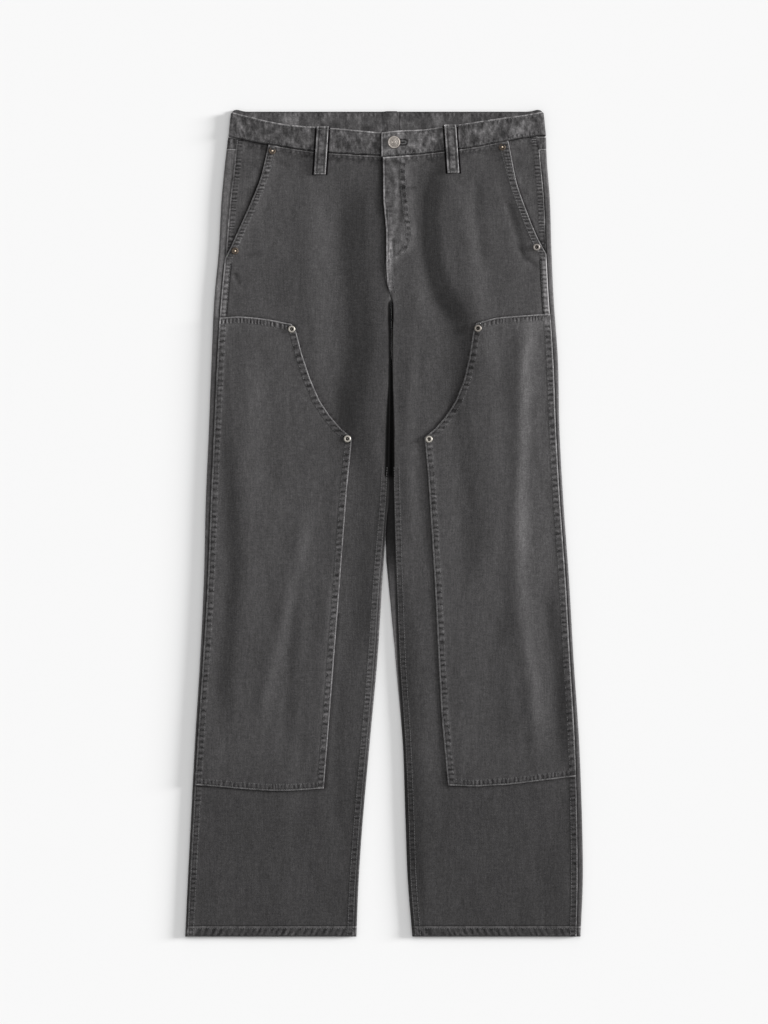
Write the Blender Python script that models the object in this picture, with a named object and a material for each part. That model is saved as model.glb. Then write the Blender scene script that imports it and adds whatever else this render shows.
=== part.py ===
"""Double-knee carpenter pants laid flat and face up, waist towards +Y.

All working sizes are millimetres. The names left and right are the wearer's:
the right leg is on the -X side. "Out" is the distance from the middle plane
x = 0 towards the side of the leg, and "level" is the Y coordinate.
Each leg is a flattened tube: the back panel lies on the floor and turns up
round both folded edges, and the front panel lies between its two seams.
"""

import math
from collections import namedtuple

import bmesh
import bpy

MM = 0.001
COLLECTION = "carpenter_pants"

# Cloth and seams
CLOTH = 1.2
SEAM_GAP = 0.3
LAYER_GAP = 0.4
FACING_GAP = 0.7
HEM_DEPTH = 12.5
HEM_CLOTH = 2.0
WELT_WIDTH = 13.0
WELT_CLOTH = 1.8

# Heights above the floor
EDGE_HEIGHT = 5.0
FOLD_RADIUS = EDGE_HEIGHT / 2
QUARTER = math.pi * FOLD_RADIUS / 2
REST_HEIGHT = 4.8
LOWEST_TOP = 3.0
HIGHEST_TOP = 6.3
MOUTH_HEIGHT = 6.4
FLY_HEIGHT = 6.6
UNDERLAP_HEIGHT = 3.4
SOFT_EDGE = 14.0
MOUTH_EDGE = 24.0

# Levels along the garment
TOP_LEVEL = 537.5
CROTCH_LEVEL = 291.5
CROTCH_OPENS = 15.0
FLAT_END = 5.0
HEM_LEVEL = -539.0
YOKE_SIDE_LEVEL = 487.0
YOKE_BACK_LEVEL = 430.0
YOKE_REACH = 190.0
YOKE_TOP_SECTION = 503.0
YOKE_MIDDLE_SECTION = 493.0
WAIST_SECTION = 488.0
FACING_TOP_SECTION = 492.0
KNEE_TOP_SECTION = 262.0
KNEE_BOTTOM_SECTION = -341.0

# Lengths over which heights and widths change along the garment
MOUTH_RUN = 40.0
WELT_RUN = 20.0
RIM_START = 8.0
RIM_RUN = 45.0
UNDERLAP_START = 7.0
UNDERLAP_RUN = 13.0
SPLIT_TOP_OUT = 85.0
SPLIT_RUN = 180.0

# Waistband
BAND_CLOTH = 2.5
BAND_HEIGHT = 8.0
BAND_BACK_BOTTOM = 505.0
BAND_LEAN = 3.0
BAND_LEAN_REACH = 200.0
BAND_ROUND = 0.8
BAND_TURN_STEPS = 6
BAND_FLAT_STEPS = 5
BAND_END_HEIGHT = 8.2
BAND_SPLIT_OUT = 40.0
BAND_END_UNDER = 27.0
LOOP_WIDTH = 16.0
LOOP_CLOTH = 1.6
BACK_LOOP_CLOTH = 1.0
BACK_LOOP_MIDDLE = 9.5

# Fly
FLY_UNDERLAP = 6.0
FLY_END_LEVEL = 345.0
FLY_SOFT_EDGE = 8.0

# Metal
RIVET_RADIUS = 4.7
RIVET_HEIGHT = 1.7
BUTTON_RADIUS = 8.2
BUTTON_HEIGHT = 3.0

LegRow = namedtuple("LegRow", "level outer side_inset inner inseam_inset")
LEGS = {
    "right": (
        LegRow(506.0, 203.0, 11.4, -9.3, 0.0),
        LegRow(474.0, 207.0, 10.4, -9.3, 0.0),
        LegRow(422.0, 212.0, 8.8, -9.3, 0.0),
        LegRow(357.0, 215.5, 7.8, -9.3, 0.0),
        LegRow(291.5, 221.5, 8.1, -9.3, 0.0),
        LegRow(213.0, 225.0, 7.8, -9.1, 2.6),
        LegRow(122.0, 228.5, 7.1, -8.4, 4.8),
        LegRow(30.0, 232.5, 7.7, -5.0, 4.6),
        LegRow(-74.0, 235.0, 6.1, 2.0, 8.4),
        LegRow(-178.0, 240.0, 5.5, 8.5, 8.8),
        LegRow(-282.0, 246.5, 6.3, 18.0, 7.3),
        LegRow(-387.0, 252.0, 4.6, 27.5, 7.1),
        LegRow(-465.0, 256.0, 4.0, 33.0, 7.6),
        LegRow(-539.0, 259.5, 4.0, 36.0, 7.8),
    ),
    "left": (
        LegRow(506.0, 211.5, 11.4, 9.7, 0.0),
        LegRow(474.0, 212.5, 6.4, 9.7, 0.0),
        LegRow(422.0, 216.5, 5.0, 9.7, 0.0),
        LegRow(357.0, 218.5, 5.5, 9.7, 0.0),
        LegRow(291.5, 221.5, 5.6, 9.7, 0.0),
        LegRow(213.0, 227.0, 5.9, 9.7, 1.5),
        LegRow(122.0, 229.0, 4.4, 9.7, 2.6),
        LegRow(30.0, 234.0, 4.2, 11.7, 3.4),
        LegRow(-74.0, 241.5, 4.4, 14.5, 5.0),
        LegRow(-178.0, 247.5, 4.6, 18.0, 5.7),
        LegRow(-282.0, 254.5, 5.5, 24.5, 5.9),
        LegRow(-387.0, 258.5, 6.5, 28.0, 7.3),
        LegRow(-465.0, 259.5, 6.8, 31.0, 6.5),
        LegRow(-539.0, 256.5, 5.2, 37.0, 5.9),
    ),
}

# Where the two halves meet, as x: the fly's edge in front and the seat seam behind
CentreRow = namedtuple("CentreRow", "level front back")
CENTRE = (
    CentreRow(537.5, -3.5, 19.5),
    CentreRow(478.0, -1.5, 17.0),
    CentreRow(422.0, -1.0, 14.5),
    CentreRow(384.0, 2.5, 13.0),
    CentreRow(329.0, 3.0, 11.0),
    CentreRow(311.0, 4.5, 10.3),
    CentreRow(291.5, 9.5, 9.5),
)

# The curved double row of stitches that closes the fly, as x
FlyRow = namedtuple("FlyRow", "level stitch")
FLY = (
    FlyRow(478.0, 28.0),
    FlyRow(444.0, 28.0),
    FlyRow(407.0, 31.5),
    FlyRow(382.0, 35.5),
    FlyRow(364.0, 32.5),
    FlyRow(351.0, 25.0),
    FlyRow(344.0, 13.0),
    FlyRow(336.0, 4.0),
)

# Slanted pocket mouths
MouthRow = namedtuple("MouthRow", "level out")
MOUTHS = {
    "right": (
        MouthRow(494.0, 148.5),
        MouthRow(448.5, 161.5),
        MouthRow(359.5, 200.5),
        MouthRow(343.5, 209.0),
    ),
    "left": (
        MouthRow(497.5, 159.0),
        MouthRow(449.5, 171.5),
        MouthRow(419.5, 181.5),
        MouthRow(374.5, 199.5),
        MouthRow(349.5, 213.0),
    ),
}

# Waistband in front, as seen from above
BandRow = namedtuple("BandRow", "out top bottom")
BANDS = {
    "right": (
        BandRow(203.0, 537.5, 506.0),
        BandRow(184.0, 532.5, 501.0),
        BandRow(158.0, 526.0, 495.5),
        BandRow(128.0, 520.5, 491.0),
        BandRow(94.0, 517.5, 486.0),
        BandRow(57.5, 515.0, 483.0),
        BandRow(3.5, 510.5, 480.0),
        BandRow(-27.0, 511.5, 480.5),
    ),
    "left": (
        BandRow(211.5, 538.0, 507.0),
        BandRow(185.0, 533.0, 503.5),
        BandRow(145.0, 527.5, 496.5),
        BandRow(115.0, 523.0, 491.0),
        BandRow(79.5, 518.0, 486.0),
        BandRow(51.0, 514.0, 482.5),
        BandRow(18.5, 512.5, 479.5),
        BandRow(-3.5, 510.0, 478.0),
    ),
}

# Inner edge of the knee panels, from the top corner down to the bottom corner
# The two front ends of the waistband: the right one dives under the left one
BandEnd = namedtuple("BandEnd", "out height")
BAND_ENDS = {
    "right": (
        BandEnd(BAND_SPLIT_OUT, BAND_HEIGHT),
        BandEnd(24.0, BAND_HEIGHT),
        BandEnd(16.0, 6.9),
        BandEnd(7.0, 5.4),
        BandEnd(-BAND_END_UNDER, 5.4),
    ),
    "left": (
        BandEnd(BAND_SPLIT_OUT, BAND_HEIGHT),
        BandEnd(26.0, BAND_END_HEIGHT),
        BandEnd(8.0, BAND_END_HEIGHT),
        BandEnd(-3.5, BAND_END_HEIGHT),
    ),
}

KneeRow = namedtuple("KneeRow", "level edge")
KNEES = {
    "right": (
        KneeRow(262.0, 121.0),
        KneeRow(251.5, 114.5),
        KneeRow(221.0, 107.0),
        KneeRow(190.0, 97.0),
        KneeRow(160.0, 84.0),
        KneeRow(140.0, 70.5),
        KneeRow(124.0, 56.5),
        KneeRow(112.0, 42.0),
        KneeRow(100.0, 43.0),
        KneeRow(44.0, 48.5),
        KneeRow(-102.0, 59.5),
        KneeRow(-243.0, 70.5),
        KneeRow(-346.0, 78.5),
    ),
    "left": (
        KneeRow(262.0, 120.0),
        KneeRow(251.5, 116.5),
        KneeRow(216.0, 111.0),
        KneeRow(188.0, 104.5),
        KneeRow(160.0, 93.5),
        KneeRow(140.0, 80.5),
        KneeRow(124.0, 67.0),
        KneeRow(112.0, 52.5),
        KneeRow(100.0, 54.0),
        KneeRow(63.0, 57.5),
        KneeRow(-63.0, 65.5),
        KneeRow(-250.0, 75.0),
        KneeRow(-341.0, 83.5),
    ),
}
KneeEnd = namedtuple("KneeEnd", "out top bottom")
KNEE_ENDS = {
    "right": (
        KneeEnd(78.0, 258.0, -345.5),
        KneeEnd(121.0, 260.5, -348.5),
        KneeEnd(149.0, 266.0, -348.5),
        KneeEnd(188.0, 270.0, -346.0),
        KneeEnd(215.0, 268.5, -343.5),
        KneeEnd(246.0, 267.0, -341.0),
    ),
    "left": (
        KneeEnd(83.0, 256.0, -341.5),
        KneeEnd(120.0, 261.5, -343.0),
        KneeEnd(145.0, 268.0, -341.5),
        KneeEnd(163.0, 270.0, -340.5),
        KneeEnd(216.0, 273.5, -334.0),
        KneeEnd(252.0, 274.0, -329.5),
    ),
}

# Large soft ridges (rise above zero) and troughs of the front panels
FoldRow = namedtuple("FoldRow", "top_level bottom_level top_out mid_out bottom_out half_width rise")
FOLDS = {
    "right": (
        FoldRow(482.0, 50.0, 44.0, 42.0, 58.0, 21.0, -1.8),
        FoldRow(210.0, -210.0, 60.0, 26.0, 48.0, 15.0, -1.0),
        FoldRow(450.0, 150.0, 92.0, 94.0, 84.0, 18.0, 1.2),
        FoldRow(350.0, 270.0, 150.0, 150.0, 140.0, 18.0, -0.8),
        FoldRow(170.0, -300.0, 207.0, 203.0, 214.0, 12.0, -1.5),
        FoldRow(40.0, -290.0, 100.0, 132.0, 168.0, 10.0, 1.2),
        FoldRow(-40.0, -330.0, 76.0, 79.0, 84.0, 12.0, 1.1),
        FoldRow(-20.0, -330.0, 118.0, 121.0, 140.0, 9.0, -1.0),
        FoldRow(-170.0, -430.0, 58.0, 61.0, 64.0, 10.0, -1.0),
    ),
    "left": (
        FoldRow(484.0, 240.0, 68.0, 56.0, 110.0, 15.0, -1.8),
        FoldRow(320.0, 120.0, 82.0, 100.0, 84.0, 18.0, -1.0),
        FoldRow(455.0, 320.0, 122.0, 124.0, 132.0, 9.0, -1.1),
        FoldRow(430.0, 335.0, 165.0, 173.0, 185.0, 6.0, -1.2),
        FoldRow(450.0, 170.0, 98.0, 122.0, 132.0, 16.0, 1.3),
        FoldRow(260.0, -40.0, 34.0, 33.0, 34.0, 9.0, 0.9),
        FoldRow(180.0, -110.0, 96.0, 104.0, 104.0, 14.0, -1.3),
        FoldRow(290.0, -60.0, 194.0, 176.0, 181.0, 11.0, 1.5),
        FoldRow(60.0, -330.0, 176.0, 182.0, 204.0, 12.0, 1.5),
        FoldRow(-60.0, -330.0, 214.0, 222.0, 228.0, 10.0, -1.3),
        FoldRow(-90.0, -310.0, 148.0, 146.0, 150.0, 18.0, -0.8),
    ),
}

Spot = namedtuple("Spot", "name side out level")
POCKET_RIVETS = (
    Spot("rivet_pocket_right_upper", "right", 146.0, 486.0),
    Spot("rivet_pocket_right_lower", "right", 194.5, 355.5),
    Spot("rivet_pocket_left_upper", "left", 154.0, 491.0),
    Spot("rivet_pocket_left_lower", "left", 199.0, 360.5),
)
KNEE_RIVETS = (
    Spot("rivet_knee_right_upper", "right", 120.5, 253.5),
    Spot("rivet_knee_right_lower", "right", 48.0, 110.5),
    Spot("rivet_knee_left_upper", "left", 122.5, 254.5),
    Spot("rivet_knee_left_lower", "left", 58.5, 110.0),
)
BUTTON = Spot("button", "left", 13.0, 497.0)

LoopSpot = namedtuple("LoopSpot", "name side top_out top_level bottom_out bottom_level")
BELT_LOOPS = (
    LoopSpot("belt_loop_right", "right", 79.8, 517.0, 83.8, 455.5),
    LoopSpot("belt_loop_left", "left", 86.2, 519.3, 90.5, 457.5),
)

# Levels of the sections
SEAT_FRONT = (468.0, 448.0, 422.0, 400.0, 380.0, 358.0, 344.0, 330.0, 314.0, 306.5, 299.0)
FACING_LEVELS = (487.0, 470.0, 455.0, 437.0, 420.0, 400.0, 380.0, 364.0, 355.0)
SEAT_BACK = (455.0, 420.0, 380.0, 344.0, 306.5, 299.0)
KNEE_LEVELS = (251.5, 228.0, 205.0, 182.0, 160.0, 140.0, 124.0, 112.0, 100.0, 50.0,
               -10.0, -75.0, -140.0, -205.0, -270.0, -326.0)
SHIN_LEVELS = (-352.0, -400.0, -452.0, -500.0)
LEG_FRONT = (CROTCH_LEVEL, 283.0, 274.5) + KNEE_LEVELS + SHIN_LEVELS
LEG_BACK = (CROTCH_LEVEL, 283.0, 274.5, 251.5, 228.0, 205.0, 160.0, 112.0, 50.0, -10.0,
            -75.0, -140.0, -205.0, -270.0, -326.0, -400.0, -452.0, -500.0)
SEAM_LEVELS = (510.0, 487.0) + SEAT_BACK + LEG_BACK + (HEM_LEVEL,)
SECOND_SHARE = (YOKE_SIDE_LEVEL - SEAM_GAP - SEAT_BACK[0]) / (YOKE_SIDE_LEVEL - SEAM_GAP - SEAT_BACK[1])
FLY_FACING_LEVELS = (475.0, 444.0, 407.0, 382.0, 364.0)
NEAR_COLUMNS = (0.0, 0.7, 2.0, 6.0)
HEM_STEP = 0.8
ARC_STEPS = 5
INNER_COLUMNS = 4
OUTER_COLUMNS = 8

CANVAS = (0.075, 0.073, 0.075)
CANVAS_PALE = (0.085, 0.083, 0.085)
FACING_GREY = (0.065, 0.064, 0.066)
BRONZE = (0.16, 0.12, 0.09)
NICKEL = (0.62, 0.61, 0.60)
PEWTER = (0.40, 0.37, 0.34)


def mix(a, b, t):
    return a + (b - a) * t


def clamp(value, low, high):
    return max(low, min(high, value))


def soft_step(t):
    t = clamp(t, 0.0, 1.0)
    return t * t * (3.0 - 2.0 * t)


def read(table, key, value, column, smooth=False):
    """Value of a column where the key column equals value, between the table's rows."""
    rows = sorted(table, key=lambda row: getattr(row, key))
    places = [getattr(row, key) for row in rows]
    values = [getattr(row, column) for row in rows]
    if value <= places[0]:
        return values[0]
    if value >= places[-1]:
        return values[-1]
    i = next(k for k in range(len(places) - 1) if places[k + 1] >= value)
    span = places[i + 1] - places[i]
    t = (value - places[i]) / span
    if not smooth:
        return mix(values[i], values[i + 1], t)
    before = max(i - 1, 0)
    after = min(i + 2, len(rows) - 1)
    start_slope = (values[i + 1] - values[before]) / (places[i + 1] - places[before])
    end_slope = (values[after] - values[i]) / (places[after] - places[i])
    start_weight = 2 * t ** 3 - 3 * t ** 2 + 1
    curve = start_weight * values[i] + (1 - start_weight) * values[i + 1]
    curve += (t ** 3 - 2 * t ** 2 + t) * span * start_slope
    curve += (t ** 3 - t ** 2) * span * end_slope
    return curve


def leg(side, level, column):
    """A leg's outline, straight between the levels where both panels have a section."""
    upper = min((k for k in SEAM_LEVELS if k >= level), default=SEAM_LEVELS[0])
    lower = max((k for k in SEAM_LEVELS if k <= level), default=SEAM_LEVELS[-1])
    top = read(LEGS[side], "level", upper, column, smooth=True)
    if upper == lower:
        return top
    bottom = read(LEGS[side], "level", lower, column, smooth=True)
    return mix(bottom, top, (level - lower) / (upper - lower))


def x_of(side, out):
    return out if side == "left" else -out


def arc_of_inset(inset):
    """Distance round a fold from its outermost line to a seam that lies inset from it."""
    if inset >= FOLD_RADIUS:
        return QUARTER + inset - FOLD_RADIUS
    return FOLD_RADIUS * math.acos(1.0 - max(inset, 0.0) / FOLD_RADIUS)


def fold_point(arc):
    """Distance in from the outermost line, and height, of a point round a fold."""
    if arc > QUARTER:
        return FOLD_RADIUS + arc - QUARTER, EDGE_HEIGHT
    if arc < -QUARTER:
        return FOLD_RADIUS - arc - QUARTER, 0.0
    angle = arc / FOLD_RADIUS
    return FOLD_RADIUS * (1.0 - math.cos(angle)), FOLD_RADIUS * (1.0 + math.sin(angle))


def fold_top(inset):
    """Height of the upper side of a folded edge at a distance in from its outermost line."""
    reach = FOLD_RADIUS - clamp(inset, 0.0, FOLD_RADIUS)
    return FOLD_RADIUS + math.sqrt(FOLD_RADIUS ** 2 - reach ** 2)


def opened(level):
    """0 at the crotch and in the legs, 1 where the seat lies quite flat."""
    return soft_step((level - CROTCH_LEVEL) / CROTCH_OPENS)


def side_seam_out(side, level):
    arc = arc_of_inset(leg(side, level, "side_inset")) + SEAM_GAP / 2
    return leg(side, level, "outer") - fold_point(arc)[0]


def mouth_out(side, level):
    return read(MOUTHS[side], "level", level, "out")


def mouth_bottom(side):
    return min(row.level for row in MOUTHS[side])


def front_outer(side, level):
    seam = side_seam_out(side, level)
    if level <= mouth_bottom(side):
        return seam
    return min(seam, mouth_out(side, level))


def fly_edge(level):
    return read(CENTRE, "level", level, "front")


def underlap(level):
    """How far the right front runs under the left one at the fly."""
    share = soft_step((level - FLY_END_LEVEL + UNDERLAP_START) / UNDERLAP_RUN)
    return mix(-SEAM_GAP / 2, FLY_UNDERLAP, share)


def front_inner(side, level):
    if level <= CROTCH_LEVEL:
        arc = arc_of_inset(leg(side, level, "inseam_inset")) + SEAM_GAP / 2
        return leg(side, level, "inner") + fold_point(arc)[0]
    if side == "left":
        return fly_edge(level) + SEAM_GAP / 2
    return -(fly_edge(level) + underlap(level))


def outer_rim(side, level):
    """Height of the front's outer edge: raised over the pocket, level at the side seam."""
    return mix(EDGE_HEIGHT, MOUTH_HEIGHT, soft_step((level - mouth_bottom(side)) / MOUTH_RUN))


def inner_rim(side, level):
    """Height of the front's inner edge above the crotch."""
    flat = soft_step((level - CROTCH_LEVEL - RIM_START) / RIM_RUN)
    target = FLY_HEIGHT if side == "left" else UNDERLAP_HEIGHT
    return mix(EDGE_HEIGHT, target, flat)


def fly_plateau(side, level):
    """Width of the level strip beside the front's inner edge."""
    if level <= CROTCH_LEVEL:
        return 0.0
    if side == "right":
        return max(0.0, underlap(level))
    return max(0.0, read(FLY, "level", level, "stitch") - fly_edge(level))


def fold_rise(fold, out, level):
    """Height that one soft fold adds at a point of the panel."""
    t = (fold.top_level - level) / (fold.top_level - fold.bottom_level)
    if t <= 0.0 or t >= 1.0:
        return 0.0
    upper = mix(fold.top_out, fold.mid_out, t * 2)
    lower = mix(fold.mid_out, fold.bottom_out, t * 2 - 1)
    middle = mix(upper, lower, t)
    taper = soft_step(t / 0.22) * soft_step((1.0 - t) / 0.22)
    return fold.rise * taper * math.exp(-((out - middle) / fold.half_width) ** 2)


def front_height(side, out, level):
    """Height of the front panel's upper face."""
    height = REST_HEIGHT + sum(fold_rise(fold, out, level) for fold in FOLDS[side])
    height = clamp(height, LOWEST_TOP, HIGHEST_TOP)
    outer_gap = front_outer(side, level) - out
    reach = MOUTH_EDGE if level > mouth_bottom(side) else SOFT_EDGE
    height = mix(outer_rim(side, level), height, soft_step(outer_gap / reach))
    inner_gap = out - front_inner(side, level) - fly_plateau(side, level)
    inner_reach = FLY_SOFT_EDGE if level > CROTCH_LEVEL + CROTCH_OPENS else SOFT_EDGE
    from_fold = out - leg(side, level, "inner")
    edge = mix(fold_top(from_fold), inner_rim(side, level), opened(level))
    return mix(edge, height, soft_step(inner_gap / inner_reach))


def split_out(side, level):
    """Line that follows the knee panel's inner edge and runs on above and below it."""
    line = read(KNEES[side], "level", level, "edge")
    upper = max(row.level for row in KNEES[side])
    if level > upper:
        return mix(line, SPLIT_TOP_OUT, soft_step((level - upper) / SPLIT_RUN))
    return line


def front_columns(side, level):
    start = front_inner(side, level)
    split = split_out(side, level)
    rim = front_outer(side, level)
    welt = rim - WELT_WIDTH
    near = [start + step for step in NEAR_COLUMNS]
    inner = [mix(near[-1], split, (i + 1) / INNER_COLUMNS) for i in range(INNER_COLUMNS)]
    outer = [mix(split, welt, (i + 1) / OUTER_COLUMNS) for i in range(OUTER_COLUMNS)]
    return near + inner + outer + [rim]


def front_line(side, level):
    return [(out, front_height(side, out, level)) for out in front_columns(side, level)]


def height_on_line(line, out):
    out = clamp(out, line[0][0], line[-1][0])
    i = next(k for k in range(len(line) - 1) if line[k + 1][0] >= out)
    t = (out - line[i][0]) / (line[i + 1][0] - line[i][0])
    return mix(line[i][1], line[i + 1][1], t)


def band_level(side, out, column):
    return read(BANDS[side], "out", out, column)


def front_surface(side, out, level):
    """Height of the front panel's own facets at a point."""
    levels = SEAT_FRONT + LEG_FRONT
    upper = min((k for k in levels if k >= level), default=levels[0])
    lower = max((k for k in levels if k <= level), default=levels[-1])
    top = height_on_line(front_line(side, upper), out)
    if upper == lower:
        return top
    bottom = height_on_line(front_line(side, lower), out)
    return mix(bottom, top, (level - lower) / (upper - lower))


def seam_normal(side, level, shift, flat_down):
    """Direction through the wall at the inner seam, square to the fold it lies on."""
    angle = min(math.pi / 2, (arc_of_inset(leg(side, level, "inseam_inset")) + shift) / FOLD_RADIUS)
    flat = opened(level)
    across = mix(math.cos(angle), 0.0, flat)
    down = mix(-math.sin(angle), flat_down, flat)
    length = math.hypot(across, down)
    return across / length, down / length


def offset_line(line, thickness, start_normal=None, end_normal=None):
    """The inner face of a wall whose outer face is line, on the right of its run."""
    fixed = {0: start_normal, len(line) - 1: end_normal}
    inner = []
    last = len(line) - 1
    for i, (out, height) in enumerate(line):
        before = line[max(i - 1, 0)]
        after = line[min(i + 1, last)]
        arms = [(out - before[0], height - before[1]), (after[0] - out, after[1] - height)]
        normals = []
        for run, rise in arms:
            length = math.hypot(run, rise)
            if length > 1e-9:
                normals.append((rise / length, -run / length))
        if fixed.get(i):
            normals = [fixed[i]]
        across = sum(n[0] for n in normals) / len(normals)
        down = sum(n[1] for n in normals) / len(normals)
        scale = thickness[i] / max(across ** 2 + down ** 2, 0.5)
        inner.append((out + across * scale, height + down * scale))
    return inner


def wall_ring(side, line, level_of, thickness, start_normal=None, end_normal=None):
    """Closed ring of points round one section of a wall."""
    if not isinstance(thickness, (list, tuple)):
        thickness = [thickness] * len(line)
    outer = [(x_of(side, out), level_of(out, height), height) for out, height in line]
    inner = []
    faces = offset_line(line, thickness, start_normal, end_normal)
    for (out, height), (own_out, own_height) in zip(faces, line):
        inner.append((x_of(side, out), level_of(own_out, own_height), height))
    return outer + inner[::-1]


def make_material(name, colour, roughness, metallic):
    material = bpy.data.materials.new(name)
    material.use_nodes = True
    shader = material.node_tree.nodes["Principled BSDF"]
    shader.inputs["Base Color"].default_value = (*colour, 1.0)
    shader.inputs["Roughness"].default_value = roughness
    shader.inputs["Metallic"].default_value = metallic
    return material


def add_object(name, mesh, colour, roughness=0.9, metallic=0.0):
    obj = bpy.data.objects.new(name, mesh)
    bpy.data.collections[COLLECTION].objects.link(obj)
    mesh.materials.append(make_material(name, colour, roughness, metallic))
    return obj


def mesh_from(bm, name):
    bmesh.ops.recalc_face_normals(bm, faces=bm.faces)
    mesh = bpy.data.meshes.new(name)
    bm.to_mesh(mesh)
    bm.free()
    return mesh


def loft(name, rings, colour):
    """Solid wall through closed rings of equal length, closed at both ends."""
    bm = bmesh.new()
    loops = []
    for ring in rings:
        loops.append([bm.verts.new((x * MM, y * MM, z * MM)) for x, y, z in ring])
    count = len(loops[0])
    half = count // 2
    for near, far in zip(loops, loops[1:]):
        for i in range(count):
            j = (i + 1) % count
            if i < half:
                bm.faces.new((near[i], near[j], far[j]))
                bm.faces.new((near[i], far[j], far[i]))
            else:
                bm.faces.new((near[i], near[j], far[i]))
                bm.faces.new((near[j], far[j], far[i]))
    for loop in (loops[0], loops[-1]):
        for i in range(half - 1):
            bm.faces.new((loop[i], loop[i + 1], loop[count - 2 - i], loop[count - 1 - i]))
    return add_object(name, mesh_from(bm, name), colour)


def same_level(level):
    return lambda out, height: level


def hem_levels():
    """Levels and wall thicknesses of the turned-up hem, below the last plain section."""
    top = HEM_LEVEL + HEM_DEPTH
    return ((top + HEM_STEP, CLOTH), (top, HEM_CLOTH), (HEM_LEVEL, HEM_CLOTH))


def inner_end(side, level, arc_end):
    """Points of the back panel's inner end, from the floor up to its seam."""
    fold_edge = leg(side, level, "inner")
    seam_out = seat_seam_out(side, level) + SEAM_GAP / 2
    arcs = [mix(-QUARTER, min(QUARTER, arc_end - SEAM_GAP), i / ARC_STEPS)
            for i in range(ARC_STEPS + 1)]
    points = []
    for arc in arcs + [arc_end]:
        inset, height = fold_point(arc)
        share = (arc + QUARTER) / (arc_end + QUARTER)
        flat_out = seam_out + (1.0 - share) * FLAT_END
        wrapped_out = fold_edge + inset
        flat = opened(level)
        points.append((mix(wrapped_out, flat_out, flat), mix(height, 0.0, flat)))
    return points


def back_line(side, level):
    """Outer face of the back panel: side seam, outer fold, floor, inner fold, inseam."""
    outer = leg(side, level, "outer")
    start = arc_of_inset(leg(side, level, "side_inset")) - SEAM_GAP / 2
    arcs = [start] + [mix(min(QUARTER, start - SEAM_GAP), -QUARTER, i / ARC_STEPS)
                      for i in range(ARC_STEPS + 1)]
    line = []
    for arc in arcs:
        inset, height = fold_point(arc)
        line.append((outer - inset, height))
    end = arc_of_inset(leg(side, level, "inseam_inset")) - SEAM_GAP / 2
    return line + inner_end(side, level, end)


def seat_seam_out(side, level):
    seam = read(CENTRE, "level", level, "back")
    return seam if side == "left" else -seam


def yoke_seam_level(side, out):
    """The yoke seam drops in a straight line from the side to the centre back."""
    share = (out - seat_seam_out(side, YOKE_BACK_LEVEL)) / YOKE_REACH
    return mix(YOKE_BACK_LEVEL, YOKE_SIDE_LEVEL, clamp(share, 0.0, 1.0))


def yoke_seam_line(side):
    half = ARC_STEPS + 2
    return back_line(side, YOKE_SIDE_LEVEL)[:half] + back_line(side, YOKE_BACK_LEVEL)[half:]


def build_back(side):
    def top_level(out, height):
        return yoke_seam_level(side, out) - SEAM_GAP

    def second_level(out, height):
        return mix(top_level(out, height), SEAT_BACK[1], SECOND_SHARE)

    second_line = yoke_seam_line(side)
    half = ARC_STEPS + 2
    second_line[:half] = back_line(side, SEAT_BACK[0])[:half]
    rings = [wall_ring(side, yoke_seam_line(side), top_level, CLOTH)]
    rings.append(wall_ring(side, second_line, second_level, CLOTH))
    for level in SEAT_BACK[1:] + LEG_BACK:
        normal = seam_normal(side, level, -SEAM_GAP / 2, 1.0)
        rings.append(wall_ring(side, back_line(side, level), same_level(level), CLOTH,
                               end_normal=normal))
    for level, cloth in hem_levels():
        rings.append(wall_ring(side, back_line(side, level), same_level(level), cloth))
    loft("back_" + side, rings, CANVAS)


def build_yoke(side):
    def top_level(out, height):
        behind = BAND_BACK_BOTTOM - SEAM_GAP
        front = band_level(side, out, "bottom") - SEAM_GAP
        return min(behind, mix(behind, front, clamp(height / EDGE_HEIGHT, 0.0, 1.0)))

    def bottom_level(out, height):
        return yoke_seam_level(side, out)

    def middle_level(out, height):
        return mix(top_level(out, height), bottom_level(out, height), 0.5)

    rings = [
        wall_ring(side, back_line(side, YOKE_TOP_SECTION), top_level, CLOTH),
        wall_ring(side, back_line(side, YOKE_MIDDLE_SECTION), middle_level, CLOTH),
        wall_ring(side, yoke_seam_line(side), bottom_level, CLOTH),
    ]
    loft("yoke_" + side, rings, CANVAS)


def front_thickness(line, level, side):
    """Wall thickness at each column: the pocket mouth has a turned-in welt."""
    thickness = [CLOTH] * len(line)
    if level > mouth_bottom(side):
        share = soft_step((level - mouth_bottom(side)) / WELT_RUN)
        thickness[-2:] = [mix(CLOTH, WELT_CLOTH, share)] * 2
    return thickness


def build_front(side):
    def waist_level(out, height):
        return band_level(side, out, "bottom") - SEAM_GAP

    top_line = front_line(side, WAIST_SECTION)
    rings = [wall_ring(side, top_line, waist_level, front_thickness(top_line, WAIST_SECTION, side))]
    for level in SEAT_FRONT + LEG_FRONT:
        line = front_line(side, level)
        normal = seam_normal(side, level, SEAM_GAP / 2, -1.0)
        rings.append(wall_ring(side, line, same_level(level), front_thickness(line, level, side),
                               start_normal=normal))
    for level, cloth in hem_levels():
        line = front_line(side, level)
        rings.append(wall_ring(side, line, same_level(level), cloth))
    loft("front_" + side, rings, CANVAS if side == "right" else CANVAS_PALE)


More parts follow.
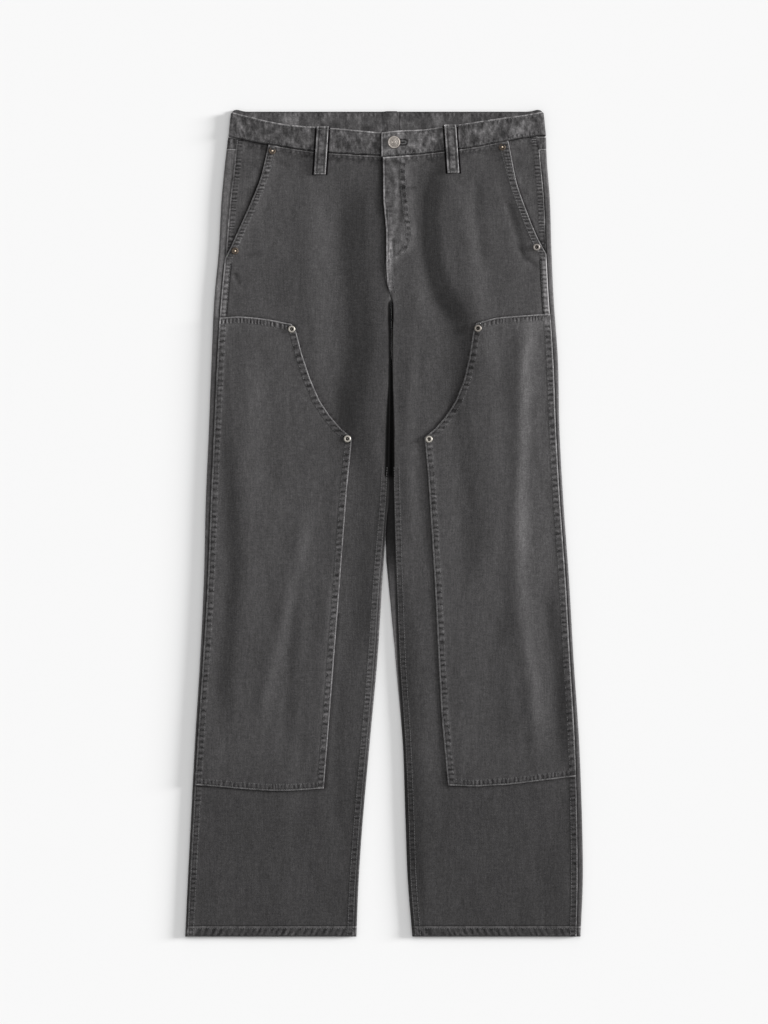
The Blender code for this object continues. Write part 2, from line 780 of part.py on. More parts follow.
def build_pocket_facing(side):
    """Piece behind the slanted mouth, from the side seam to a little under the front."""
    under = 6.0
    tip_height = 3.0
    tip_width = 1.0
    shares = (0.1, 0.55, 1.0)
    drop = WELT_CLOTH + FACING_GAP
    bottom = mouth_bottom(side)

    def height_at(out, level):
        if out <= front_outer(side, level):
            return front_height(side, out, level) - drop
        hidden = outer_rim(side, level) - drop
        shown = mix(EDGE_HEIGHT - drop, EDGE_HEIGHT, soft_step((level - bottom - RIM_START) / RIM_RUN))
        seam = side_seam_out(side, level)
        edge = front_outer(side, level)
        return mix(hidden, shown, soft_step((out - edge) / max(seam - edge, tip_width)))

    def ring(level, level_of, seam_level):
        edge = front_outer(side, level)
        seam = side_seam_out(side, seam_level)
        if level < bottom + tip_height:
            seam = edge - tip_width
        columns = [edge - under, edge - under / 2] + [mix(edge, seam, share) for share in shares]
        line = [(out, height_at(out, level)) for out in columns]
        return wall_ring(side, line, level_of, CLOTH)

    def waist_level(out, height):
        return band_level(side, out, "bottom") - SEAM_GAP

    rings = [ring(FACING_TOP_SECTION, waist_level, YOKE_TOP_SECTION)]
    for level in FACING_LEVELS + (bottom,):
        if level >= bottom:
            rings.append(ring(level, same_level(level), level))
    loft("pocket_facing_" + side, rings, FACING_GREY)


def build_knee_panel(side):
    """Doubling on the front: the front's own columns and sections, moved up."""
    first = len(NEAR_COLUMNS) + INNER_COLUMNS - 1
    raised = CLOTH + LAYER_GAP

    def end_ring(level, column):
        columns = front_columns(side, level)[first:]
        line = []
        levels = []
        for out in columns:
            own = read(KNEE_ENDS[side], "out", out, column)
            levels.append(own)
            line.append((out, front_surface(side, out, own) + raised))
        placed = dict(zip(columns, levels))
        return wall_ring(side, line, lambda out, height: placed[out], CLOTH)

    rings = [end_ring(KNEE_TOP_SECTION, "top")]
    for level in KNEE_LEVELS:
        line = [(out, height + raised) for out, height in front_line(side, level)[first:]]
        rings.append(wall_ring(side, line, same_level(level), CLOTH))
    rings.append(end_ring(KNEE_BOTTOM_SECTION, "bottom"))
    loft("knee_panel_" + side, rings, CANVAS if side == "right" else CANVAS_PALE)


def build_fly_facing():
    """Strip under the left front's edge that the curved stitching holds."""
    top = FLY_HEIGHT - CLOTH - LAYER_GAP
    edge_inset = 0.5
    row_inset = 4.0
    rings = []
    for level in FLY_FACING_LEVELS:
        start = fly_edge(level) + edge_inset
        end = read(FLY, "level", level, "stitch") - row_inset
        line = [(mix(start, end, i / 2), top) for i in range(3)]
        rings.append(wall_ring("left", line, same_level(level), CLOTH))
    loft("fly_facing", rings, FACING_GREY)


def band_ring(side, lower, upper, top, bottom):
    """Section of the waistband: lower and upper are (out, height) of its outer and inner face."""
    profile = ((0.0, bottom), (0.0, top - BAND_ROUND), (0.25, top), (0.75, top),
               (1.0, top - BAND_ROUND), (1.0, bottom))
    middle = mix(bottom, top, 0.5)
    ring = []
    for share, level in profile:
        out = mix(lower[0], upper[0], share)
        reach = clamp(out / BAND_LEAN_REACH, 0.0, 1.0)
        lean = BAND_LEAN * reach * (level - middle) / (top - bottom)
        ring.append((x_of(side, out - lean), level, mix(lower[1], upper[1], share)))
    return ring


def build_waistband(side):
    """Half of the waistband, from the seam at the centre back round to the button."""
    rings = []
    start = seat_seam_out(side, TOP_LEVEL) + SEAM_GAP / 2
    edge = leg(side, 506.0, "outer") - BAND_LEAN / 2
    radius = BAND_HEIGHT / 2
    inner_radius = radius - BAND_CLOTH
    back = [(start, 0.0)]
    if side == "right":
        notch = LOOP_WIDTH / 2 + SEAM_GAP
        recess = BACK_LOOP_CLOTH + SEAM_GAP
        step = 0.1
        low_end = -BACK_LOOP_MIDDLE - notch
        high_end = -BACK_LOOP_MIDDLE + notch
        back += [(low_end - step, 0.0), (low_end, recess), (high_end, recess), (high_end + step, 0.0)]
    back += [(mix(start, edge - radius, share), 0.0) for share in (0.4, 0.7, 1.0)]
    for out, low in back:
        rings.append(band_ring(side, (out, low), (out, BAND_CLOTH), TOP_LEVEL, BAND_BACK_BOTTOM))
    top_front = band_level(side, edge, "top")
    bottom_front = band_level(side, edge, "bottom")
    for i in range(1, BAND_TURN_STEPS):
        turn = i / BAND_TURN_STEPS
        angle = math.pi * (turn - 0.5)
        across = math.cos(angle)
        rise = math.sin(angle)
        lower = (edge - radius + radius * across, radius + radius * rise)
        upper = (edge - radius + inner_radius * across, radius + inner_radius * rise)
        top = mix(TOP_LEVEL, top_front, turn)
        bottom = mix(BAND_BACK_BOTTOM, bottom_front, turn)
        rings.append(band_ring(side, lower, upper, top, bottom))
    shares = [i / BAND_FLAT_STEPS for i in range(BAND_FLAT_STEPS)]
    front = [(mix(edge - radius, BAND_SPLIT_OUT, share), BAND_HEIGHT) for share in shares]
    for out, height in front + list(BAND_ENDS[side]):
        top = band_level(side, out, "top")
        bottom = band_level(side, out, "bottom")
        rings.append(band_ring(side, (out, height), (out, height - BAND_CLOTH), top, bottom))
    loft("waistband_" + side, rings, CANVAS)


def build_belt_loop(spot):
    """Doubled strip that bridges the waistband and is tacked to the front below it."""
    band_bottom = band_level(spot.side, spot.top_out, "bottom")
    over_band = BAND_HEIGHT + LAYER_GAP
    middle_out = mix(spot.top_out, spot.bottom_out, 0.5)
    half = LOOP_WIDTH / 2
    bevel = 0.6
    end_levels = [spot.bottom_level + step for step in (0.0, 6.0, 12.0)]
    on_front = LAYER_GAP + max(front_surface(spot.side, middle_out + shift, level)
                               for shift in (-half, 0.0, half) for level in end_levels)
    descent = ((1.0, 0.0), (6.0, 0.35), (14.0, 0.85), (20.0, 1.0))
    stations = [(spot.top_level, over_band)]
    stations += [(band_bottom - step, mix(over_band, on_front, share)) for step, share in descent]
    stations.append((spot.bottom_level, on_front))
    rings = []
    for level, low in stations:
        share = (spot.top_level - level) / (spot.top_level - spot.bottom_level)
        centre = mix(spot.top_out, spot.bottom_out, share)
        line = [(centre - half, low + LOOP_CLOTH - bevel), (centre - half + bevel, low + LOOP_CLOTH),
                (centre + half - bevel, low + LOOP_CLOTH), (centre + half, low + LOOP_CLOTH - bevel)]
        base = [(centre - half, low), (centre + half, low)]
        ring = [(x_of(spot.side, out), level, height) for out, height in line + base[::-1]]
        rings.append(ring)
    loft(spot.name, rings, CANVAS)


def build_back_loop():
    """The loop at the centre back, flush with the underside, its end just above the band."""
    proud = 1.5
    bm = bmesh.new()
    bmesh.ops.create_cube(bm, size=1.0)
    length = TOP_LEVEL + proud - BAND_BACK_BOTTOM
    bmesh.ops.scale(bm, vec=(LOOP_WIDTH * MM, length * MM, BACK_LOOP_CLOTH * MM), verts=bm.verts)
    place = (BACK_LOOP_MIDDLE * MM, (BAND_BACK_BOTTOM + length / 2) * MM, BACK_LOOP_CLOTH / 2 * MM)
    bmesh.ops.translate(bm, vec=place, verts=bm.verts)
    add_object("belt_loop_back", mesh_from(bm, "belt_loop_back"), CANVAS)


def turned(name, profile, steps, colour, roughness, place):
    """Closed turned solid from (radius, height) points that start and end on the axis."""
    bm = bmesh.new()
    verts = [bm.verts.new((radius * MM, 0.0, height * MM)) for radius, height in profile]
    edges = [bm.edges.new(pair) for pair in zip(verts, verts[1:])]
    bmesh.ops.spin(bm, geom=verts + edges, cent=(0, 0, 0), axis=(0, 0, 1),
                   angle=2 * math.pi, steps=steps, use_merge=True)
    bmesh.ops.remove_doubles(bm, verts=bm.verts, dist=0.00001)
    mesh = mesh_from(bm, name)
    mesh.shade_smooth()
    mesh.set_sharp_from_angle(angle=math.radians(35))
    obj = add_object(name, mesh, colour, roughness, 1.0)
    obj.location = [value * MM for value in place]
    return obj


def build_rivet(spot, base, colour, roughness):
    radius = RIVET_RADIUS
    height = RIVET_HEIGHT
    profile = ((0.0, 0.0), (radius * 0.94, 0.0), (radius, height * 0.3),
               (radius * 0.86, height * 0.8), (radius * 0.62, height), (radius * 0.42, height * 0.55),
               (radius * 0.22, height * 0.75), (0.0, height * 0.85))
    place = (x_of(spot.side, spot.out), spot.level, base)
    turned(spot.name, profile, 14, colour, roughness, place)


def seat_of(spot, extra):
    """Height at which a rivet's flat base clears the panel under it."""
    reach = RIVET_RADIUS * 0.9
    corners = ((0, 0), (-reach, 0), (reach, 0), (0, -reach), (0, reach))
    highest = max(front_surface(spot.side, spot.out + dx, spot.level + dy) for dx, dy in corners)
    return highest + extra


def build_metal():
    for spot in POCKET_RIVETS:
        build_rivet(spot, seat_of(spot, SEAM_GAP), BRONZE, 0.45)
    for spot in KNEE_RIVETS:
        build_rivet(spot, seat_of(spot, LAYER_GAP + CLOTH + SEAM_GAP), NICKEL, 0.3)
    radius = BUTTON_RADIUS
    height = BUTTON_HEIGHT
    profile = ((0.0, 0.0), (radius * 0.45, 0.0), (radius * 0.5, height * 0.3),
               (radius * 0.93, height * 0.38), (radius, height * 0.6), (radius * 0.92, height * 0.92),
               (radius * 0.8, height), (radius * 0.66, height * 0.82), (radius * 0.5, height * 0.86),
               (radius * 0.4, height * 0.74), (radius * 0.16, height * 0.78), (0.0, height * 0.84))
    place = (x_of("left", BUTTON.out), BUTTON.level, BAND_END_HEIGHT + SEAM_GAP)
    turned(BUTTON.name, profile, 24, PEWTER, 0.4, place)


def start_scene():
    for obj in list(bpy.data.objects):
        bpy.data.objects.remove(obj, do_unlink=True)
    collection = bpy.data.collections.new(COLLECTION)
    bpy.context.scene.collection.children.link(collection)


def main():
    start_scene()
    for side in ("right", "left"):
        build_back(side)
        build_yoke(side)
        build_front(side)
        build_pocket_facing(side)
        build_knee_panel(side)
        build_waistband(side)
    build_fly_facing()
    for spot in BELT_LOOPS:
        build_belt_loop(spot)
    build_back_loop()
    build_metal()


main()
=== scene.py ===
"""Looks of the double-knee carpenter pants, laid flat and face up on a pale floor.

Working sizes are millimetres. Left and right are the wearer's: the right leg is
on the -X side. "Out" is the distance from the plane x = 0 towards the side of
the leg, and "level" is the Y coordinate, which grows towards the waist.
"""
import math
from collections import namedtuple

import bmesh
import bpy
import numpy as np
from mathutils import Matrix, Vector


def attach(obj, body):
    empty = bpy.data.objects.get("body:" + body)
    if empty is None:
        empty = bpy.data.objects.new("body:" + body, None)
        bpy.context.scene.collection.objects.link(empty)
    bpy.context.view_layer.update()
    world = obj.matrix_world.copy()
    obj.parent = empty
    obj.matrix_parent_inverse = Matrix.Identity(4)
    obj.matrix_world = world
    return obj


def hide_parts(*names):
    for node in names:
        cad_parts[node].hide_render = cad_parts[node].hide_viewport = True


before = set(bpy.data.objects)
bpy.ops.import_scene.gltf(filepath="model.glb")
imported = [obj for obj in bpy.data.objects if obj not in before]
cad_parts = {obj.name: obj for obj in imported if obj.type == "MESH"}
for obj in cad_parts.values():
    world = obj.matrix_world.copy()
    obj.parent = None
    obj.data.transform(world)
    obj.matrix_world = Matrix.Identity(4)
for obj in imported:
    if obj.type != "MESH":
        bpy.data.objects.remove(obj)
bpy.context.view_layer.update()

MM = 0.001

# Cloth, seams and heights
CLOTH = 1.2
BAND_CLOTH = 2.5
SEAM_GAP = 0.3
LAYER_GAP = 0.4
WELT_DROP = 1.45
EDGE_HEIGHT = 5.0
FOLD_RADIUS = EDGE_HEIGHT / 2
QUARTER = math.pi * FOLD_RADIUS / 2
REST_HEIGHT = 4.8
LOWEST_TOP = 2.9
HIGHEST_TOP = 8.2
MOUTH_HEIGHT = 6.4
FLY_HEIGHT = 6.6
UNDERLAP_HEIGHT = 3.4
BAND_HEIGHT = 8.0
BAND_END_HEIGHT = 8.2
BAND_SIDE_HEIGHT = 6.4
BAND_SIDE_REACH = 45.0
BAND_LEAN = 3.0
SOFT_EDGE = 14.0
MOUTH_EDGE = 24.0
FLY_SOFT_EDGE = 8.0
FLY_UNDERLAP = 6.0
FLY_END_LEVEL = 345.0

TOP_LEVEL = 537.5
BAND_BACK_BOTTOM = 505.0
CROTCH_LEVEL = 291.5
CROTCH_OPENS = 15.0
HEM_LEVEL = -539.0
HEM_DEPTH = 12.5
HEM_SHARE = 0.018
YOKE_SIDE_LEVEL = 487.0
YOKE_BACK_LEVEL = 430.0
YOKE_REACH = 190.0
KNEE_TOP = 262.0
KNEE_BOTTOM = -346.0
KNEE_LOW_ROW = -338.0
BAND_SIDE_LEVEL = 506.0
FELL_END = 268.0
FRONT_TOP = 486.0
FRONT_TOP_START = 440.0
FACING_TOP = 492.0
FACING_TOP_START = 450.0

# Sewing, dye and painted shade
CLOTH_GREY = 0.0628
STITCH_PITCH = 3.2
STITCH_LENGTH = 2.5
THREAD = 0.62
TWIN_ROWS = (1.6, 8.0)
PUCKER_PITCH = 6.2
FELL_WIDTH = 8.2
FLY_PUCKER_STRETCH = 0.7
MOUTH_PUCKERS = 1.35
HEM_PUCKERS = 0.72
KNEE_PUCKERS = 0.80
INSEAM_SHOWS = 75.0
LIT_EDGE = 0.55
UNLIT_EDGE = -0.35
# Strength of the painted shade in the gap between the legs, in doublings
GAP_SHADE_STRENGTH = 4.2
THREADS_PER_METRE = 480.0
PALEST_CLOTH = 0.34


def named(columns, table):
    """A table's rows with their columns by name, for the garment or for each side of it."""
    kind = namedtuple("Row", columns)
    if isinstance(table, dict):
        return {side: [kind(*row) for row in rows] for side, rows in table.items()}
    return [kind(*row) for row in table]


LEGS = named("level outer side_inset inner inseam_inset", {
    "right": (
        (506.0, 203.0, 12.6, -9.3, 0.0),
        (474.0, 207.0, 12.2, -9.3, 0.0),
        (422.0, 212.0, 10.8, -9.3, 0.0),
        (357.0, 215.5, 8.8, -9.3, 0.0),
        (291.5, 221.5, 8.7, -9.3, 0.0),
        (213.0, 225.0, 7.0, -9.1, 0.8),
        (122.0, 228.5, 6.3, -8.4, 1.0),
        (30.0, 232.5, 6.2, -5.0, 1.6),
        (-74.0, 235.0, 4.6, 2.0, 3.4),
        (-178.0, 240.0, 3.4, 8.5, 4.0),
        (-282.0, 246.5, 2.9, 18.0, 3.2),
        (-387.0, 252.0, 2.5, 27.5, 3.0),
        (-465.0, 256.0, 2.3, 33.0, 3.2),
        (-539.0, 259.5, 2.2, 36.0, 3.4),
    ),
    "left": (
        (506.0, 211.5, 14.5, 9.7, 0.0),
        (474.0, 212.5, 8.8, 9.7, 0.0),
        (422.0, 216.5, 7.4, 9.7, 0.0),
        (357.0, 218.5, 6.8, 9.7, 0.0),
        (291.5, 221.5, 6.4, 9.7, 0.0),
        (213.0, 227.0, 5.9, 9.7, 0.6),
        (122.0, 229.0, 4.4, 9.7, 0.8),
        (30.0, 234.0, 4.2, 11.7, 0.9),
        (-74.0, 241.5, 4.4, 14.5, 1.4),
        (-178.0, 247.5, 4.6, 18.0, 1.8),
        (-282.0, 254.5, 5.5, 24.5, 2.0),
        (-387.0, 258.5, 6.5, 28.0, 3.0),
        (-465.0, 259.5, 6.8, 31.0, 2.6),
        (-539.0, 256.5, 5.2, 37.0, 2.6),
    ),
})

# Where the two halves meet, as x: the fly's edge in front and the seat seam behind
CENTRE = named("level front back", (
    (537.5, -3.5, 19.5),
    (478.0, -1.5, 17.0),
    (422.0, -1.0, 14.5),
    (384.0, 2.5, 13.0),
    (329.0, 3.0, 11.0),
    (311.0, 4.5, 10.3),
    (291.5, 9.5, 9.5),
))

# The curved double row of stitches that closes the fly, as x
FLY = named("level stitch", (
    (478.0, 28.0),
    (444.0, 28.0),
    (407.0, 31.5),
    (382.0, 35.5),
    (364.0, 32.5),
    (351.0, 25.0),
    (344.0, 13.0),
    (336.0, 4.0),
))

MOUTHS = named("level out", {
    "right": (
        (494.0, 148.5),
        (448.5, 161.5),
        (359.5, 200.5),
        (343.5, 209.0),
    ),
    "left": (
        (497.5, 159.0),
        (449.5, 171.5),
        (419.5, 181.5),
        (374.5, 199.5),
        (349.5, 213.0),
    ),
})

BANDS = named("out top bottom", {
    "right": (
        (203.0, 537.5, 506.0),
        (184.0, 532.5, 501.0),
        (158.0, 526.0, 495.5),
        (128.0, 520.5, 491.0),
        (94.0, 517.5, 486.0),
        (57.5, 515.0, 483.0),
        (3.5, 510.5, 480.0),
        (-27.0, 511.5, 480.5),
    ),
    "left": (
        (211.5, 538.0, 507.0),
        (185.0, 533.0, 503.5),
        (145.0, 527.5, 496.5),
        (115.0, 523.0, 491.0),
        (79.5, 518.0, 486.0),
        (51.0, 514.0, 482.5),
        (18.5, 512.5, 479.5),
        (-3.5, 510.0, 478.0),
    ),
})

KNEES = named("level edge", {
    "right": (
        (262.0, 121.0),
        (251.5, 114.5),
        (221.0, 107.0),
        (190.0, 97.0),
        (160.0, 84.0),
        (140.0, 70.5),
        (124.0, 56.5),
        (112.0, 42.0),
        (100.0, 43.0),
        (44.0, 48.5),
        (-102.0, 59.5),
        (-243.0, 70.5),
        (-346.0, 78.5),
    ),
    "left": (
        (262.0, 120.0),
        (251.5, 116.5),
        (216.0, 111.0),
        (188.0, 104.5),
        (160.0, 93.5),
        (140.0, 80.5),
        (124.0, 67.0),
        (112.0, 52.5),
        (100.0, 54.0),
        (63.0, 57.5),
        (-63.0, 65.5),
        (-250.0, 75.0),
        (-341.0, 83.5),
    ),
})
KNEE_ENDS = named("out top bottom", {
    "right": (
        (78.0, 258.0, -345.5),
        (121.0, 260.5, -348.5),
        (149.0, 266.0, -348.5),
        (188.0, 270.0, -346.0),
        (215.0, 268.5, -343.5),
        (246.0, 267.0, -341.0),
    ),
    "left": (
        (83.0, 256.0, -341.5),
        (120.0, 261.5, -343.0),
        (145.0, 268.0, -341.5),
        (163.0, 270.0, -340.5),
        (216.0, 273.5, -334.0),
        (252.0, 274.0, -329.5),
    ),
})

# Soft ridges (rise above zero) and troughs of the front, largest first. Tone is how
# much paler or darker the cloth is painted along each, in doublings of the reflected
# light: partly dye rubbed off the ridges, partly painted shade in the troughs and
# painted light on the ridges.
FOLDS = named("top_level bottom_level top_out mid_out bottom_out half_width rise tone", {
    "right": (
        (482.0, 50.0, 44.0, 42.0, 58.0, 21.0, -2.4, -0.85),
        (210.0, -210.0, 60.0, 26.0, 48.0, 15.0, -1.2, -0.45),
        (450.0, 150.0, 92.0, 94.0, 84.0, 18.0, 1.6, 0.16),
        (350.0, 270.0, 150.0, 150.0, 140.0, 18.0, -1.0, -0.16),
        (170.0, -300.0, 207.0, 203.0, 214.0, 12.0, -1.7, -0.55),
        (40.0, -290.0, 100.0, 132.0, 168.0, 10.0, 1.6, 0.26),
        (-40.0, -330.0, 76.0, 79.0, 84.0, 12.0, 1.4, 0.16),
        (-20.0, -330.0, 118.0, 121.0, 140.0, 9.0, -1.2, -0.22),
        (-170.0, -430.0, 58.0, 61.0, 64.0, 10.0, -1.2, -0.18),
        (240.0, -10.0, 178.0, 176.0, 170.0, 20.0, 0.9, 0.18),
        (-10.0, -340.0, 6.0, 14.0, 30.0, 8.0, 0.6, 0.40),
    ),
    "left": (
        (484.0, 240.0, 68.0, 56.0, 110.0, 15.0, -2.6, -1.15),
        (320.0, 120.0, 82.0, 100.0, 84.0, 18.0, -1.0, -0.55),
        (455.0, 320.0, 122.0, 124.0, 132.0, 9.0, -1.2, -0.14),
        (430.0, 335.0, 165.0, 173.0, 185.0, 6.0, -1.4, -0.18),
        (450.0, 170.0, 98.0, 122.0, 132.0, 16.0, 1.8, 0.24),
        (460.0, 250.0, 36.0, 40.0, 50.0, 12.0, 1.0, 0.14),
        (260.0, -40.0, 34.0, 33.0, 34.0, 9.0, 1.0, 0.12),
        (180.0, -110.0, 96.0, 104.0, 104.0, 14.0, -1.4, -0.28),
        (290.0, -60.0, 194.0, 176.0, 181.0, 11.0, 2.4, 0.62),
        (60.0, -330.0, 176.0, 182.0, 204.0, 12.0, 2.2, 0.42),
        (-60.0, -330.0, 214.0, 222.0, 228.0, 10.0, -1.6, -0.50),
        (-90.0, -310.0, 148.0, 146.0, 150.0, 18.0, -1.0, -0.18),
        (-20.0, -535.0, 18.0, 28.0, 42.0, 11.0, -0.4, -0.60),
        (190.0, -60.0, 140.0, 146.0, 140.0, 16.0, 0.8, 0.14),
    ),
})

# Places painted paler or darker than the rest, partly rubbed wear and partly painted light
# and shade: x, level, half sizes and tone
TONES = named("x level half_x half_level tone", (
    (8.0, 496.0, 20.0, 20.0, 0.35),
    (14.0, 380.0, 16.0, 90.0, 0.28),
    (7.0, 325.0, 9.0, 40.0, 0.45),
    (-214.0, 310.0, 9.0, 60.0, 0.45),
    (213.0, 310.0, 8.0, 50.0, 0.40),
    (190.0, 262.0, 34.0, 14.0, 0.30),
    (-190.0, 262.0, 30.0, 14.0, 0.12),
    (208.0, -330.0, 40.0, 14.0, 0.15),
    (165.0, 410.0, 40.0, 60.0, 0.12),
    (-150.0, 430.0, 50.0, 60.0, 0.05),
    (-8.0, 430.0, 7.0, 70.0, -0.35),
    (-20.0, 240.0, 16.0, 80.0, -0.25),
    (24.0, 180.0, 14.0, 160.0, -0.10),
    (-215.0, -470.0, 40.0, 60.0, 0.05),
    (-60.0, 20.0, 24.0, 120.0, -0.12),
    (40.0, -330.0, 14.0, 200.0, -0.25),
    (198.0, 250.0, 26.0, 110.0, 0.30),
    (213.0, 0.0, 26.0, 190.0, 0.32),
    (-253.0, -535.0, 6.0, 6.0, 0.70),
    (-42.0, -535.0, 6.0, 6.0, 0.60),
    (252.0, -535.0, 6.0, 6.0, 0.60),
    (41.0, -535.0, 5.0, 6.0, 0.40),
    (-212.0, 260.0, 4.0, 8.0, 0.60),
    (213.0, 265.0, 5.0, 9.0, 0.60),
    (8.6, 358.0, 3.2, 12.0, 1.15),
    (45.0, 500.0, 50.0, 16.0, 0.42),
))

# Creases drawn from one point to another, as x and level, with their half width and tone.
# The dark ones are painted shade; the pale ones are partly rubbed wear, partly painted light.
CREASES = named("x level end_x end_level half_width tone", (
    (6.2, 474.7, 12.7, 461.7, 2.4, 0.45),
    (12.7, 461.7, 16.4, 446.0, 2.6, 0.55),
    (16.4, 446.0, 15.2, 412.7, 2.8, 0.45),
    (22.5, 441.0, 21.7, 396.0, 2.8, -0.60),
    (21.0, 438.0, 39.0, 438.0, 2.0, -0.60),
    (3.0, 455.0, 9.0, 447.0, 3.0, -0.45),
    (4.0, 438.8, 2.4, 428.0, 2.6, -0.50),
    (2.6, 414.0, 10.6, 413.0, 1.5, -0.80),
    (2.6, 408.4, 10.0, 407.6, 1.5, -0.80),
    (2.6, 402.6, 9.4, 402.0, 1.5, -0.60),
    (27.0, 477.0, 23.0, 467.0, 1.8, 0.45),
    (35.0, 476.0, 43.0, 466.0, 2.2, 0.35),
    (26.0, 470.0, 24.6, 450.0, 1.8, -0.40),
    (36.0, 455.0, 36.5, 415.0, 2.2, 0.22),
    (25.5, 432.0, 26.0, 405.0, 1.8, -0.45),
    (9.0, 398.0, 10.0, 374.0, 2.6, 0.25),
    (7.0, 370.0, 7.4, 345.0, 3.2, 0.45),
    (12.2, 371.0, 12.4, 350.0, 1.4, -0.90),
    (34.2, 366.0, 30.7, 358.6, 1.4, 0.50),
    (30.7, 358.6, 22.6, 352.2, 1.4, 0.50),
    (22.6, 352.2, 14.4, 345.7, 1.4, 0.50),
    (28.6, 361.4, 20.6, 355.0, 1.4, -0.50),
    (12.8, 342.0, 13.4, 324.0, 1.6, -0.55),
    (188.0, 531.0, 199.0, 525.0, 3.0, -0.80),
    (164.6, 513.9, 182.0, 522.7, 3.0, 0.35),
    (153.7, 511.7, 162.3, 503.0, 2.2, -0.50),
    (177.6, 509.6, 186.4, 520.4, 2.0, -0.40),
    (101.5, 513.9, 103.6, 503.0, 2.4, -0.60),
    (108.0, 513.9, 125.4, 509.6, 2.5, 0.30),
    (130.0, 503.0, 141.0, 513.0, 2.2, -0.35),
    (2.0, 487.0, 18.0, 489.0, 4.0, 0.50),
    (47.0, 497.6, 53.5, 491.0, 2.2, -0.55),
    (68.3, 492.6, 76.4, 500.9, 2.2, -0.70),
    (56.8, 504.1, 66.6, 499.1, 2.4, 0.40),
    (34.0, 505.7, 53.5, 507.4, 2.6, 0.35),
    (-15.0, 494.3, -6.8, 484.5, 3.0, -0.35),
    (-155.4, 511.7, -142.4, 507.4, 2.2, -0.50),
    (-190.3, 516.1, -168.5, 520.4, 3.0, 0.28),
    (-109.7, 498.6, -101.0, 490.0, 2.6, -0.45),
    (-62.0, 508.0, -50.0, 495.0, 2.4, -0.40),
    (-130.0, 500.0, -118.0, 507.0, 2.4, 0.28),
    (-178.0, 506.0, -164.0, 500.0, 2.4, -0.35),
    (178.0, 361.5, 184.0, 344.0, 2.6, -0.70),
    (188.5, 346.0, 199.0, 335.4, 1.8, -0.60),
    (184.0, 340.0, 194.0, 330.0, 1.8, 0.30),
    (160.0, 484.0, 150.0, 474.0, 2.0, -0.30),
    (-194.6, 326.0, -189.0, 313.7, 1.8, -0.90),
    (-198.0, 322.0, -193.5, 311.0, 1.8, 0.40),
    (-142.4, 477.4, -122.0, 466.0, 3.0, -0.35),
    (-178.0, 350.0, -160.0, 352.0, 3.0, -0.25),
))

# Painted shade in the deep line where the legs lie against each other: how far it reaches
# onto each leg
GAP = named("level right left depth", (
    (293.0, 1.2, 0.9, 0.0),
    (287.0, 3.6, 2.4, 1.0),
    (268.0, 3.8, 2.7, 1.3),
    (250.0, 3.0, 1.5, 1.3),
    (215.0, 2.8, 1.1, 1.3),
    (180.0, 3.0, 2.0, 1.3),
    (150.0, 5.0, 3.2, 1.3),
    (120.0, 5.8, 3.8, 1.3),
    (63.0, 5.4, 2.8, 1.3),
    (59.0, 3.4, 2.0, 0.5),
    (-20.0, 3.0, 1.6, 0.42),
    (-70.0, 2.0, 1.2, 0.0),
))

# How the tone changes down the leg, darker towards the hem
LEG_TONE = named("level tone", (
    (540.0, 0.02),
    (330.0, 0.00),
    (200.0, -0.08),
    (-100.0, -0.10),
    (-300.0, -0.22),
    (-360.0, -0.44),
    (-540.0, -0.50),
))

Spot = namedtuple("Spot", "name side out level turn")
POCKET_RIVETS = (
    Spot("rivet_pocket_right_upper", "right", 146.0, 486.0, 20.0),
    Spot("rivet_pocket_right_lower", "right", 194.5, 355.5, 75.0),
    Spot("rivet_pocket_left_upper", "left", 154.0, 491.0, 130.0),
    Spot("rivet_pocket_left_lower", "left", 199.0, 360.5, 210.0),
)
RUBBED_RIVET = "rivet_pocket_left_lower"
DULLED_RIVET = "rivet_knee_left_upper"
KNEE_RIVETS = (
    Spot("rivet_knee_right_upper", "right", 120.5, 253.5, 10.0),
    Spot("rivet_knee_right_lower", "right", 48.0, 110.5, 95.0),
    Spot("rivet_knee_left_upper", "left", 122.5, 254.5, 160.0),
    Spot("rivet_knee_left_lower", "left", 58.5, 110.0, 250.0),
)
BUTTON = Spot("button", "left", 13.0, 497.0, 0.0)
SLIT_START = 16.0
SLIT_END = 27.0

LoopSpot = namedtuple("LoopSpot", "name side top_out top_level bottom_out bottom_level")
BELT_LOOPS = (
    LoopSpot("belt_loop_right", "right", 79.8, 517.0, 83.8, 455.5),
    LoopSpot("belt_loop_left", "left", 86.2, 519.3, 90.5, 457.5),
)
LOOP_WIDTH = 15.2
LOOP_CLOTH = 1.6
BACK_LOOP_CLOTH = 1.0
BACK_LOOP_OUT = -9.5


# Curves, ramps and soft random values

def mix(a, b, t):
    return a + (b - a) * t


def soft_step(t):
    t = np.clip(t, 0.0, 1.0)
    return t * t * (3.0 - 2.0 * t)


def table_rows(table, key, column):
    ordered = sorted(table, key=lambda row: getattr(row, key))
    places = np.array([getattr(row, key) for row in ordered])
    return places, np.array([getattr(row, column) for row in ordered])


def straight(table, key, column, value):
    """A column read along straight lines between the table's rows."""
    places, values = table_rows(table, key, column)
    return np.interp(value, places, values)


def smooth(table, key, column, value):
    """A column read along a smooth curve through the table's rows."""
    places, values = table_rows(table, key, column)
    slopes = np.empty_like(values)
    slopes[1:-1] = (values[2:] - values[:-2]) / (places[2:] - places[:-2])
    slopes[0] = (values[1] - values[0]) / (places[1] - places[0])
    slopes[-1] = (values[-1] - values[-2]) / (places[-1] - places[-2])
    value = np.clip(value, places[0], places[-1])
    i = np.clip(np.searchsorted(places, value) - 1, 0, len(places) - 2)
    span = places[i + 1] - places[i]
    t = (value - places[i]) / span
    start = 2 * t ** 3 - 3 * t ** 2 + 1
    curve = start * values[i] + (1 - start) * values[i + 1]
    curve = curve + (t ** 3 - 2 * t ** 2 + t) * span * slopes[i]
    return curve + (t ** 3 - t ** 2) * span * slopes[i + 1]


